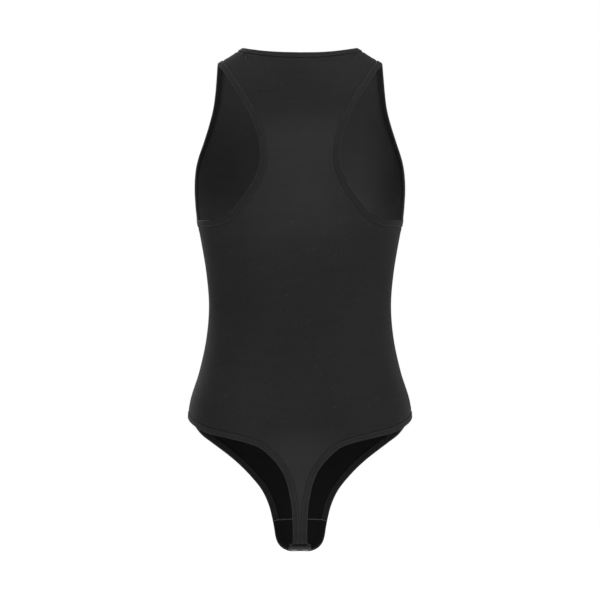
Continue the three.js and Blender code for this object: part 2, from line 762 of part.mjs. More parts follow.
/**
 * A solid whose section, a list of [out, up] anticlockwise, follows stations; closed joins its ends.
 * Its faces are cut on the same diagonals as the cloth that they lie on.
 */
function swept(line, outline, closed) {
  const k = outline.length;
  const points = line.flatMap((s) => outline.map(([out, up]) => section(s, out, up)));
  const triangles = [];
  const spans = closed ? line.length : line.length - 1;
  for (let i = 0; i < spans; i += 1) {
    const next = (i + 1) % line.length;
    const inToOut = line[i].inset.distanceTo(line[next].edge);
    const outToIn = line[i].edge.distanceTo(line[next].inset);
    for (let j = 0; j < k; j += 1) {
      const [a, b] = [i * k + j, i * k + ((j + 1) % k)];
      const [c, d] = [next * k + ((j + 1) % k), next * k + j];
      const outwardFace = outline[(j + 1) % k][0] > outline[j][0];
      const fromA = outwardFace === inToOut < outToIn;
      triangles.push(...(fromA ? [[a, b, c], [a, c, d]] : [[a, b, d], [b, c, d]]));
    }
  }
  if (!closed) {
    const flat = outline.map(([x, y]) => new THREE.Vector2(x, y));
    const cap = THREE.ShapeUtils.triangulateShape(flat, []);
    const last = (line.length - 1) * k;
    cap.forEach(([a, b, c]) => triangles.push([c, b, a], [a + last, b + last, c + last]));
  }
  return outwards(geometry(points, triangles));
}

/** The same closed mesh, with its faces turned to point out. */
function outwards(g) {
  const p = g.getAttribute("position");
  const at = (i) => new THREE.Vector3().fromBufferAttribute(p, i);
  const index = [...g.index.array];
  let volume = 0;
  for (let i = 0; i < index.length; i += 3) {
    volume += at(index[i]).dot(at(index[i + 1]).cross(at(index[i + 2])));
  }
  if (volume < 0) g.setIndex(index.reverse());
  g.computeVertexNormals();
  return g;
}

// The section of a binding: a fold of cloth round the panel's edge, with the elastic inside it.
const outerFace = CLOTH / 2 + CLEAR;
const elasticTop = CLOTH / 2 + CLEAR;
const elasticFoot = elasticTop + ELASTIC;
const innerFace = elasticFoot + CLEAR;
const BINDING = [
  [-held, outerFace],
  [CLEAR, outerFace],
  [CLEAR, -innerFace],
  [-held, -innerFace],
  [-held, -innerFace - TAPE],
  [wrap, -innerFace - TAPE],
  [wrap, outerFace + TAPE],
  [-held, outerFace + TAPE],
];
const ELASTIC_SECTION = [
  [-0.5, -elasticTop],
  [-0.5 - ELASTIC_WIDTH, -elasticTop],
  [-0.5 - ELASTIC_WIDTH, -elasticFoot],
  [-0.5, -elasticFoot],
];

/** Two runs of stations that start at a seam, as one run through it. */
function through(first, second) {
  return [...first.slice(1).reverse(), meet(first[0], second[0]), ...second.slice(1)];
}

const armholeStations = (() => {
  const front = stations(FRONT, frontLines.armhole, frontLines.armholeIn);
  const back = stations(BACK, backLines.armhole, backLines.armholeIn);
  const atUnderarm = meet(front.at(-1), back.at(-1));
  return [...through(front.slice(0, -1), back.slice(0, -1)), atUnderarm];
})();

const neckStations = (() => {
  const front = stations(FRONT, frontLines.neck, frontLines.neckIn);
  const back = stations(BACK, backLines.neck, backLines.neckIn);
  const left = through([...front].reverse(), [...back].reverse());
  const right = left.slice(1, -1).map(mirror).reverse();
  return [...left, ...right];
})();

const legStations = (() => {
  const front = stations(
    FRONT,
    [...frontLeg.edge, ...gussetLeg.edge.slice(1)],
    [...frontLeg.inset, ...gussetLeg.inset.slice(1)],
  );
  return through(front, stations(BACK, backLeg.edge, backLeg.inset));
})();

/** Leg stations with both ends drawn back, so that the elastic ends inside its binding. */
function shortened(line, by) {
  const pull = (end, next) => {
    const share = by / end.edge.distanceTo(next.edge);
    return Object.fromEntries(
      Object.keys(end).map((key) => [key, end[key].clone().lerp(next[key], share)]),
    );
  };
  return [pull(line[0], line[1]), ...line.slice(1, -1), pull(line.at(-1), line.at(-2))];
}

// ---- Seams, tapes and the label ----

const allowanceTop = CLOTH / 2 + CLEAR;

/** The overlocked allowance inside a side seam, pressed to the back, on the panel's last column. */
const sideSeamStations = backPanel.rows
  .slice(BACK.armholeSteps, BACK.armholeSteps + SIDE_STEPS + 1)
  .map((row) => station(BACK, row.at(-1), row.at(-2)));
const SIDE_SEAM = [
  [-1, -allowanceTop],
  [-1 - SEAM_ALLOWANCE, -allowanceTop],
  [-1 - SEAM_ALLOWANCE, -allowanceTop - ALLOWANCE_THICK],
  [-1, -allowanceTop - ALLOWANCE_THICK],
];

/** The blank care label, caught in the left side seam and lying inside the front. */
function careLabel() {
  const levels = steps(LABEL.level + LABEL.height / 2, LABEL.level - LABEL.height / 2, 3);
  const rows = levels.map((z) => {
    const perAngle = torso(FRONT, SIDE - 0.1, z).distanceTo(torso(FRONT, SIDE, z)) / 0.1;
    return steps(SIDE - 1 / perAngle, SIDE - (1 + LABEL.width) / perAngle, 3).map((a) => [a, z]);
  });
  const top = CLOTH / 2 + 3 * CLEAR;
  return outwards(new Cloth(FRONT).grid(rows, false).solid(-top - LABEL.thick, -top));
}

/** The gusset's row at a station of its edge, drawn in to leave room for the leg bindings. */
function liningRow(i, shift, columns) {
  const [angle, along] = towardsMiddle(FRONT, gussetLeg.inset[i], 3 * CLEAR);
  const middle = mix(gussetSeam, gussetEnd, i / GUSSET_STEPS);
  return steps(0, 1, columns).map((u) => [angle * u, mix(middle, along, u * u) + shift]);
}

/** The gusset's lining, between the two leg bindings. */
function gussetLining() {
  const rows = gussetLeg.inset
    .map((_, i) => liningRow(i, i === GUSSET_STEPS ? 1 : 0, 4))
    .slice(LINING_START);
  return new Cloth(FRONT).grid(rows).solid(-elasticFoot, -elasticTop);
}

/** The folded hem that shows as a line across the inside, along the top of the lining. */
function liningHem() {
  const rows = [HEM_WIDTH + CLEAR, CLEAR].map((shift) => liningRow(LINING_START, shift, 4));
  return new Cloth(FRONT).grid(rows).solid(-elasticFoot - ALLOWANCE_THICK, -elasticFoot);
}

/** How far the panels' first facets fall below the ridge, at the sides of a shoulder's tape. */
const ridgeSag = Math.max(
  ...[
    [FRONT, frontPanel],
    [BACK, backPanel],
  ].flatMap(([half, { rows }]) =>
    rows[0].slice(NECK_STEPS).map((place, i) => {
      const top = torso(half, ...place);
      const next = torso(half, ...rows[1][NECK_STEPS + i]);
      return ((SHOULDER_TAPE_WIDTH / 2) * (top.z - next.z)) / Math.abs(next.y);
    }),
  ),
);

/** The stay tape under a shoulder seam: a flat strip that the wearer's shoulder carries. */
function shoulderTape() {
  const room = (tipX - neckX) / Math.cos(Math.atan(ridgeSlope)) - 2 * (BINDING_WIDTH + SHOULDER_TAPE_END);
  return new THREE.BoxGeometry(room, SHOULDER_TAPE_WIDTH, TAPE);
}

// ---- The closure ----

const wasm = await Module();
wasm.setup();

/** A geometry as a manifold-3d solid. */
function solidOf(shape) {
  const bare = shape.clone();
  Object.keys(bare.attributes)
    .filter((name) => name !== "position")
    .forEach((name) => bare.deleteAttribute(name));
  const merged = mergeVertices(bare, 1e-4);
  return new wasm.Manifold(
    new wasm.Mesh({
      numProp: 3,
      vertProperties: new Float32Array(merged.attributes.position.array),
      triVerts: new Uint32Array(merged.index.array),
    }),
  );
}

/** A manifold-3d solid as a geometry. */
function geometryOf(solid) {
  const mesh = solid.getMesh();
  const g = new THREE.BufferGeometry();
  g.setAttribute("position", new THREE.BufferAttribute(mesh.vertProperties, 3));
  g.setIndex(new THREE.BufferAttribute(mesh.triVerts, 1));
  g.computeVertexNormals();
  return g;
}

/** A round body on Z, turned from a profile of [radius, z] that closes on itself or on the axis. */
function turned(profile) {
  const lathe = new THREE.LatheGeometry(
    profile.map(([r, z]) => new THREE.Vector2(r, z)),
    ROUND_STEPS,
  );
  return lathe.rotateX(Math.PI / 2);
}

/** A post along Z, from one height to another. */
const post = (radius, low, high) =>
  turned([
    [0, low],
    [radius, low],
    [radius, high],
    [0, high],
  ]);

const snapPitch = TAB_WIDTH - 2 * (SNAP_MARGIN + SNAP_RADIUS);
const snapY = (CLOSURE + FRONT_OVERHANG - BACK_OVERHANG) / 2;

/**
 * The plate of a snap tab, from its fold to its free end, with rounded corners and two holes. Y is
 * measured from the front tab's fold line.
 */
function tabPlate(width, foldY, freeY) {
  const run = Math.sign(freeY - foldY);
  const corner = TAB_CORNER;
  const shape = new THREE.Shape();
  shape.moveTo(-width / 2, 0);
  shape.lineTo(width / 2, 0);
  const long = Math.abs(freeY - foldY);
  shape.lineTo(width / 2, long - corner);
  shape.absarc(width / 2 - corner, long - corner, corner, 0, SIDE, false);
  shape.absarc(corner - width / 2, long - corner, corner, SIDE, Math.PI, false);
  shape.closePath();
  const plate = new THREE.ExtrudeGeometry(shape, { depth: TAB_THICK, bevelEnabled: false, curveSegments: 5 });
  plate.translate(0, 0, -TAB_THICK / 2);
  if (run < 0) plate.rotateZ(Math.PI);
  plate.translate(0, foldY, 0);
  const hole = (x) => solidOf(post(POST_RADIUS + CLEAR, -TAB_THICK, TAB_THICK).translate(x, snapY, 0));
  const drilled = solidOf(plate)
    .subtract(hole(snapPitch / 2))
    .subtract(hole(-snapPitch / 2));
  return geometryOf(drilled);
}

/** The cap outside the front tab, with the post that its socket is pressed onto. */
const snapCap = () =>
  turned([
    [0, -CAP_THICK],
    [SNAP_RADIUS - 0.6, -CAP_THICK],
    [SNAP_RADIUS, -CAP_THICK / 2],
    [SNAP_RADIUS, 0],
    [POST_RADIUS, 0],
    [POST_RADIUS, TAB_THICK + CLEAR],
    [0, TAB_THICK + CLEAR],
  ]);

const mouth = STUD_RADIUS + STUD_PLAY;

/** The socket inside the front tab: a ring with a rolled lip round its mouth. */
const snapSocket = () =>
  turned([
    [mouth + 0.3, 0],
    [SNAP_RADIUS, 0],
    [SNAP_RADIUS, 0.5 * SOCKET_THICK],
    [SNAP_RADIUS - 1.2, SOCKET_THICK],
    [mouth, SOCKET_THICK],
    [mouth, 0.4 * SOCKET_THICK],
    [mouth + 0.3, 0],
  ]);

/** The stud under the back tab, with its nub hanging down and its tail up through the tab. */
const snapStud = () =>
  turned([
    [0, -STUD_BASE - 0.85 * SOCKET_THICK],
    [STUD_RADIUS - 0.3, -STUD_BASE - 0.85 * SOCKET_THICK],
    [STUD_RADIUS, -STUD_BASE - 0.5 * SOCKET_THICK],
    [STUD_RADIUS - 0.15, -STUD_BASE],
    [SNAP_RADIUS, -STUD_BASE],
    [SNAP_RADIUS, 0],
    [POST_RADIUS, 0],
    [POST_RADIUS, TAB_THICK + 2 * CLEAR],
    [0, TAB_THICK + 2 * CLEAR],
  ]);

const ringHole = POST_RADIUS + RING_PLAY;

/** The ring on the inner face of the back tab, round the stud's tail. */
const snapRing = () =>
  turned([
    [ringHole, 0],
    [SNAP_RADIUS, 0],
    [SNAP_RADIUS, RING_THICK / 2],
    [SNAP_RADIUS - 0.6, RING_THICK],
    [ringHole, RING_THICK],
    [ringHole, 0],
  ]);

// ---- Materials ----

const fabric = (color, roughness) => new THREE.MeshStandardMaterial({ color, roughness, metalness: 0 });
const JERSEY = fabric(0x1b1b1c, 0.82);
const BOUND = fabric(0x191919, 0.84);
const LINING = fabric(0x101011, 0.9);
const RUBBER = fabric(0x2a2a2b, 0.7);
const THREAD = fabric(0x1f1f20, 0.75);
const SATIN = fabric(0xd9d7d0, 0.55);
const STEEL = new THREE.MeshStandardMaterial({ color: 0x2b2b2d, roughness: 0.35, metalness: 0.9 });

// ---- Assembly ----

const leotard = new THREE.Group();

/** Adds a named piece. */
function add(parent, name, shape, material) {
  const mesh = new THREE.Mesh(shape, material);
  mesh.name = name;
  parent.add(mesh);
  return mesh;
}

const half = CLOTH / 2;
add(leotard, "front_panel", frontPanel.cloth.solid(-half, half), JERSEY);
add(leotard, "back_panel", backPanel.cloth.solid(-half, half), JERSEY);
add(leotard, "front_gusset", gussetCloth().solid(-half, half), JERSEY);
add(leotard, "gusset_lining", gussetLining(), LINING);
add(leotard, "gusset_seam", liningHem(), THREAD);
add(leotard, "neck_binding", swept(neckStations, BINDING, true), BOUND);
add(leotard, "neck_elastic", swept(neckStations, ELASTIC_SECTION, true), RUBBER);
add(leotard, "care_label", careLabel(), SATIN);

for (const [side, sign] of [
  ["left", 1],
  ["right", -1],
]) {
  const onSide = (line) => (sign > 0 ? line : line.map(mirror));
  const armhole = onSide(armholeStations);
  const leg = onSide(legStations);
  add(leotard, `armhole_binding_${side}`, swept(armhole, BINDING, true), BOUND);
  add(leotard, `armhole_elastic_${side}`, swept(armhole, ELASTIC_SECTION, true), RUBBER);
  add(leotard, `leg_binding_${side}`, swept(leg, BINDING, false), BOUND);
  add(leotard, `leg_elastic_${side}`, swept(shortened(leg, 1), ELASTIC_SECTION, false), RUBBER);
  add(leotard, `side_seam_${side}`, swept(onSide(sideSeamStations), SIDE_SEAM, false), THREAD);
  const tape = add(leotard, `shoulder_tape_${side}`, shoulderTape(), RUBBER);
  const drop = CLOTH / 2 + ridgeSag + SHOULDER_ALLOWANCE + TAPE / 2;
  const slant = Math.atan(ridgeSlope);
  tape.position.set(
    sign * (mix(neckX, tipX, 0.5) - drop * Math.sin(slant)),
    0,
    NECK_POINT - SHOULDER_DROP / 2 - drop * Math.cos(slant),
  );
  tape.rotation.y = sign * slant;
}

const closure = new THREE.Group();
closure.position.set(0, FRONT_FOLD_Y, CROTCH);
closure.rotation.x = tilt;
leotard.add(closure);

const frontTab = new THREE.Group();
closure.add(frontTab);
add(frontTab, "front_snap_tab", tabPlate(TAB_WIDTH, 0, CLOSURE + FRONT_OVERHANG), BOUND);

const backTab = new THREE.Group();
backTab.position.z = tabRise;
closure.add(backTab);
const backTabWidth = TAB_WIDTH - 2 * BACK_TAB_INSET;
add(backTab, "back_snap_tab", tabPlate(backTabWidth, CLOSURE, -BACK_OVERHANG), BOUND);

for (const [side, sign] of [
  ["left", 1],
  ["right", -1],
]) {
  const place = (mesh, z) => mesh.position.set((sign * snapPitch) / 2, snapY, z);
  place(add(frontTab, `snap_cap_${side}`, snapCap(), STEEL), -TAB_THICK / 2 - CLEAR);
  place(add(frontTab, `snap_socket_${side}`, snapSocket(), STEEL), TAB_THICK / 2 + CLEAR);
  place(add(backTab, `snap_stud_${side}`, snapStud(), STEEL), -TAB_THICK / 2 - CLEAR);
  place(add(backTab, `snap_ring_${side}`, snapRing(), STEEL), TAB_THICK / 2 + CLEAR);
}

export default leotard;
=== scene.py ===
"""A racer-back leotard with a thong-cut seat and a press-stud closure, on the shape of a torso.

Shapes are worked out in millimetres and put into the meshes in metres. +Z is up, -Y is the
wearer's front and +X the wearer's left. A place on the torso is a pair: the angle round it, from
0 at the middle to 90 degrees at the side seam, and the turn, which runs over the shoulder as an
angle and on down the body as a length.
"""

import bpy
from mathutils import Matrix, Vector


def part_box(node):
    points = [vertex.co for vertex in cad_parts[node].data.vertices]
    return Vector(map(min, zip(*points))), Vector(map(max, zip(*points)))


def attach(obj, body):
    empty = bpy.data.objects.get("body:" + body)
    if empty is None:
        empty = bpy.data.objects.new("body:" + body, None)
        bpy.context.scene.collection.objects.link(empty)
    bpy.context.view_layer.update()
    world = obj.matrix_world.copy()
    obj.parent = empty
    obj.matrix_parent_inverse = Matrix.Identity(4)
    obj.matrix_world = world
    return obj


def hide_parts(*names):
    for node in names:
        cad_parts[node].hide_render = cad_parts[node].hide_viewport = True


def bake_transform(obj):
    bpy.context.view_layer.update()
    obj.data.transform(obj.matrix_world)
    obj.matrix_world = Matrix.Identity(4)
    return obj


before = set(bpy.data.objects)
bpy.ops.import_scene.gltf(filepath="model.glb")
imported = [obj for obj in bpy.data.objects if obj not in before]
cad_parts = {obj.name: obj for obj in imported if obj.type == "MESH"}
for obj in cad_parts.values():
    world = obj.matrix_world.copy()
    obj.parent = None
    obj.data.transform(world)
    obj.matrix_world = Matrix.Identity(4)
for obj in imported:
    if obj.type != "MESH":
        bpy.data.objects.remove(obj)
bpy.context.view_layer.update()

import logging
import math
from dataclasses import dataclass, field
from enum import Enum
from typing import Callable, Sequence

import bpy
import numpy as np
from mathutils import Vector

LOG = logging.getLogger("leotard")
MM = 0.001
SIDE = math.pi / 2
Array = np.ndarray
Pair = tuple[float, float]


# ---- Curves ----


def mix(a: Array | float, b: Array | float, share: Array | float) -> Array | float:
    """The value a share of the way from a to b."""
    return a + (b - a) * share


def unit(vectors: Array) -> Array:
    """Vectors scaled to length one."""
    return vectors / np.maximum(np.linalg.norm(vectors, axis=-1, keepdims=True), 1e-12)


def run_of(points: Array) -> Array:
    """The length along a line of points, at each of them."""
    steps = np.linalg.norm(np.diff(points, axis=0), axis=1)
    return np.concatenate([[0.0], np.cumsum(steps)])


def ease(low: float, high: float, at: Array) -> Array:
    """0 up to low, 1 from high, and a smooth step 3t^2 - 2t^3 between them."""
    t = np.clip((at - low) / (high - low), 0, 1)
    return t * t * (3 - 2 * t)


def bell(at: Array, width: float) -> Array:
    """A bump exp(-(at / width)^2)."""
    return np.exp(-((at / width) ** 2))


class Curve:
    """A smooth function through [at, value] points, flat beyond them.

    Between two points it is a cubic with the slope at each point that weighs the slopes on its
    two sides by nearness.
    """

    def __init__(self, points: Sequence[Sequence[float]]) -> None:
        """Args: points: pairs in rising order."""
        table = np.asarray(points, float)
        self.at, self.value = table[:, 0], table[:, 1]
        step = np.diff(self.at)
        rise = np.diff(self.value) / step
        inner = (rise[:-1] * step[1:] + rise[1:] * step[:-1]) / (step[:-1] + step[1:])
        self.slope = np.concatenate([rise[:1], inner, rise[-1:]])

    def __call__(self, at: Array | float) -> Array:
        """The value at each place."""
        at = np.clip(at, self.at[0], self.at[-1])
        i = np.clip(np.searchsorted(self.at, at, side="right") - 1, 0, len(self.at) - 2)
        h = self.at[i + 1] - self.at[i]
        t = (at - self.at[i]) / h
        start = self.value[i] * (1 + 2 * t) + self.slope[i] * h * t
        end = self.value[i + 1] * (3 - 2 * t) - self.slope[i + 1] * h * (1 - t)
        return start * (1 - t) ** 2 + end * t**2


# ---- The torso ----


@dataclass(frozen=True)
class Sizes:
    """The leotard's sizes, in millimetres."""

    neck_point: float = 348.0
    shoulder_drop: float = 22.0
    back_neck_drop: float = 6.5
    front_neck_drop: float = 88.0
    underarm: float = 115.0
    hip: float = -150.0
    crotch: float = -330.2
    gusset_rise: float = 59.2
    neck_width: float = 152.0
    shoulder_span: float = 222.8
    racer_width: float = 107.0
    chest_width: float = 300.8
    underarm_width: float = 277.2
    waist_width: float = 245.0
    hip_width: float = 301.0
    gusset_width: float = 84.4
    bust_depth: float = 117.0
    front_waist_depth: float = 79.0
    belly_depth: float = 101.0
    blade_depth: float = 90.0
    back_waist_depth: float = 66.0
    seat_depth: float = 107.0
    cloth: float = 0.9
    binding_width: float = 8.5
    wrap: float = 0.9
    strap_centre: float = 1.2
    closure: float = 26.0
    closure_tilt: float = math.radians(10.0)
    front_fold_y: float = -6.0
    front_overhang: float = 3.0
    back_overhang: float = 1.0
    tab_width: float = 30.0
    back_tab_inset: float = 0.8
    tab_corner: float = 4.0
    tab_thick: float = 1.4
    tab_rise: float = 4.6
    tab_gap: float = 1.2
    edge_ease: float = 1.8
    seam_gap: float = 0.08
    ridge_round: float = 8.0

    @property
    def held(self) -> float:
        """How much cloth a binding covers."""
        return self.binding_width - self.wrap


S = Sizes()
TIP_X = S.shoulder_span / 2
TIP_Z = S.neck_point - S.shoulder_drop
NECK_X = S.neck_width / 2
RIDGE_SLOPE = S.shoulder_drop / (TIP_X - NECK_X)
CHEST_RISE = TIP_Z - S.underarm
GUSSET_SEAM = S.crotch + S.gusset_rise
TILT_COS, TILT_SIN = math.cos(S.closure_tilt), math.sin(S.closure_tilt)
BACK_FOLD_Y = S.front_fold_y + S.closure * TILT_COS - S.tab_rise * TILT_SIN
BACK_FOLD_Z = S.crotch + S.closure * TILT_SIN + S.tab_rise * TILT_COS


def belly(share: float) -> float:
    """A level from the waist, 0, to the hip, 1."""
    return share * S.hip


def trunk(share: float) -> float:
    """A level from the waist, 0, to the underarm, 1."""
    return share * S.underarm


def chest(share: float) -> float:
    """A level from the underarm, 0, to the tip of the shoulder, 1."""
    return S.underarm + share * CHEST_RISE


def seat(share: float) -> float:
    """A level from the hip, 0, to the crotch, 1."""
    return mix(S.hip, S.crotch, share)


TURN_TOP = seat(0.277)

HALF_WIDTH = Curve(
    [
        [S.hip, S.hip_width / 2],
        [belly(0.88), mix(S.waist_width, S.hip_width, 0.93) / 2],
        [belly(0.593), mix(S.waist_width, S.hip_width, 0.47) / 2],
        [belly(0.3), mix(S.waist_width, S.hip_width, 0.13) / 2],
        [0, S.waist_width / 2],
        [trunk(0.39), mix(S.waist_width, S.underarm_width, 0.22) / 2],
        [trunk(0.774), mix(S.waist_width, S.underarm_width, 0.68) / 2],
        [S.underarm, S.underarm_width / 2],
        [chest(0.095), mix(S.underarm_width, S.chest_width, 0.43) / 2],
        [chest(0.194), mix(S.underarm_width, S.chest_width, 0.78) / 2],
        [chest(0.318), S.chest_width / 2],
        [chest(0.502), 0.987 * S.chest_width / 2],
        [chest(0.711), 0.967 * S.chest_width / 2],
        [chest(0.915), 0.94 * S.chest_width / 2],
        [chest(1.2), 0.88 * S.chest_width / 2],
    ]
)
FRONT_DEPTH = Curve(
    [
        [TURN_TOP, 0.96 * S.belly_depth],
        [belly(1.03), S.belly_depth],
        [belly(0.667), 0.95 * S.belly_depth],
        [belly(0.333), mix(S.front_waist_depth, S.belly_depth, 0.44)],
        [0, S.front_waist_depth],
        [trunk(0.435), mix(S.front_waist_depth, S.bust_depth, 0.2)],
        [trunk(0.87), mix(S.front_waist_depth, S.bust_depth, 0.66)],
        [chest(0.166), S.bust_depth],
        [chest(0.308), 0.985 * S.bust_depth],
        [chest(0.498), 0.88 * S.bust_depth],
        [chest(0.687), 0.74 * S.bust_depth],
        [chest(0.877), 0.62 * S.bust_depth],
        [chest(1.2), 0.5 * S.bust_depth],
    ]
)
BACK_DEPTH = Curve(
    [
        [TURN_TOP, 0.89 * S.seat_depth],
        [belly(1.13), 0.985 * S.seat_depth],
        [belly(0.93), S.seat_depth],
        [belly(0.667), 0.94 * S.seat_depth],
        [belly(0.333), mix(S.back_waist_depth, S.seat_depth, 0.46)],
        [0, S.back_waist_depth],
        [trunk(0.52), mix(S.back_waist_depth, S.blade_depth, 0.24)],
        [chest(0.024), mix(S.back_waist_depth, S.blade_depth, 0.62)],
        [chest(0.355), 0.98 * S.blade_depth],
        [chest(0.592), S.blade_depth],
        [chest(0.829), 0.9 * S.blade_depth],
        [chest(1.2), 0.68 * S.blade_depth],
    ]
)
FRONT_SQUARE = Curve(
    [
        [S.crotch, 0.1],
        [S.hip, 0.3],
        [belly(0.4), 0.28],
        [0, 0.22],
        [trunk(0.7), 0.32],
        [chest(0.166), 0.62],
        [chest(0.403), 0.55],
        [chest(0.687), 0.35],
        [chest(1.1), 0.2],
    ]
)
BACK_SQUARE = Curve(
    [
        [S.crotch, 0.1],
        [seat(0.444), 0.35],
        [belly(0.933), 0.6],
        [belly(0.4), 0.35],
        [0, 0.22],
        [trunk(0.87), 0.35],
        [chest(0.545), 0.5],
        [chest(1.1), 0.3],
    ]
)


def front_turn() -> Array:
    """The middle of the front from the belly to the tab, as length along the cloth, y and z."""
    top_y = -float(FRONT_DEPTH(TURN_TOP))
    gusset_y = top_y + 20
    rows = [
        (TURN_TOP, top_y, TURN_TOP),
        (
            mix(TURN_TOP, GUSSET_SEAM, 0.563),
            mix(top_y, gusset_y, 0.42),
            mix(TURN_TOP, GUSSET_SEAM, 0.56),
        ),
        (GUSSET_SEAM, gusset_y, GUSSET_SEAM + 0.6),
    ]
    shares = ((22, 0.14, 0.34), (44, 0.33, 0.63), (66, 0.58, 0.85), (86, 0.83, 0.97), (99, 1, 1))
    for down, back, low in shares:
        y, z = mix(gusset_y, S.front_fold_y, back), mix(GUSSET_SEAM, S.crotch, low)
        rows.append((GUSSET_SEAM - down, y, z))
    rows.append((GUSSET_SEAM - 119, S.front_fold_y + 20 * TILT_COS, S.crotch + 20 * TILT_SIN))
    return np.array(rows)


def back_turn() -> Array:
    """The middle of the back below the seat, down the strap to its tab, in the same way."""
    top = float(BACK_DEPTH(TURN_TOP))
    turn_y = BACK_FOLD_Y + 6.5
    rows = [(TURN_TOP, top, TURN_TOP)]
    for down, forward, low in ((0.246, 0.2, 0.238), (0.508, 0.46, 0.461), (0.769, 0.74, 0.677)):
        level = mix(TURN_TOP, S.crotch, down)
        rows.append((level, mix(top, turn_y, forward), mix(TURN_TOP, S.crotch, low)))
    rows += [
        (S.crotch + 2, mix(top, turn_y, 0.935), BACK_FOLD_Z + 15),
        (S.crotch - 12, turn_y + 0.6, BACK_FOLD_Z + 5),
        (S.crotch - 19, BACK_FOLD_Y + 3.4, BACK_FOLD_Z + 0.9),
        (S.crotch - 22.6, BACK_FOLD_Y, BACK_FOLD_Z),
        (S.crotch - 42.6, BACK_FOLD_Y - 20 * TILT_COS, BACK_FOLD_Z - 20 * TILT_SIN),
    ]
    return np.array(rows)


FRONT_TURN = front_turn()
BACK_TURN = back_turn()
GUSSET_END = float(FRONT_TURN[7][0]) + S.tab_gap
STRAP_END = float(BACK_TURN[7][0]) + S.tab_gap


@dataclass(frozen=True)
class Crease:
    """A short run of fine pulls in the cloth, seen from behind."""

    x: float
    z: float
    long: float
    wide: float
    depth: float
    pitch: float = 6.0
    lean: float = 0.0

    def relief(self, x: Array, z: Array) -> Array:
        """A wave across the pull that dies away round it, in millimetres.

        Args:
            x: Places across the torso.
            z: Heights.

        Returns:
            How far the cloth stands out.
        """
        c, s = math.cos(self.lean), math.sin(self.lean)
        along = (x - self.x) * c + (z - self.z) * s
        over = (z - self.z) * c - (x - self.x) * s
        wave = np.cos(2 * math.pi * (over + 0.02 * along**2 / self.long) / self.pitch)
        return self.depth * wave * bell(along, self.long) * bell(over, self.wide)


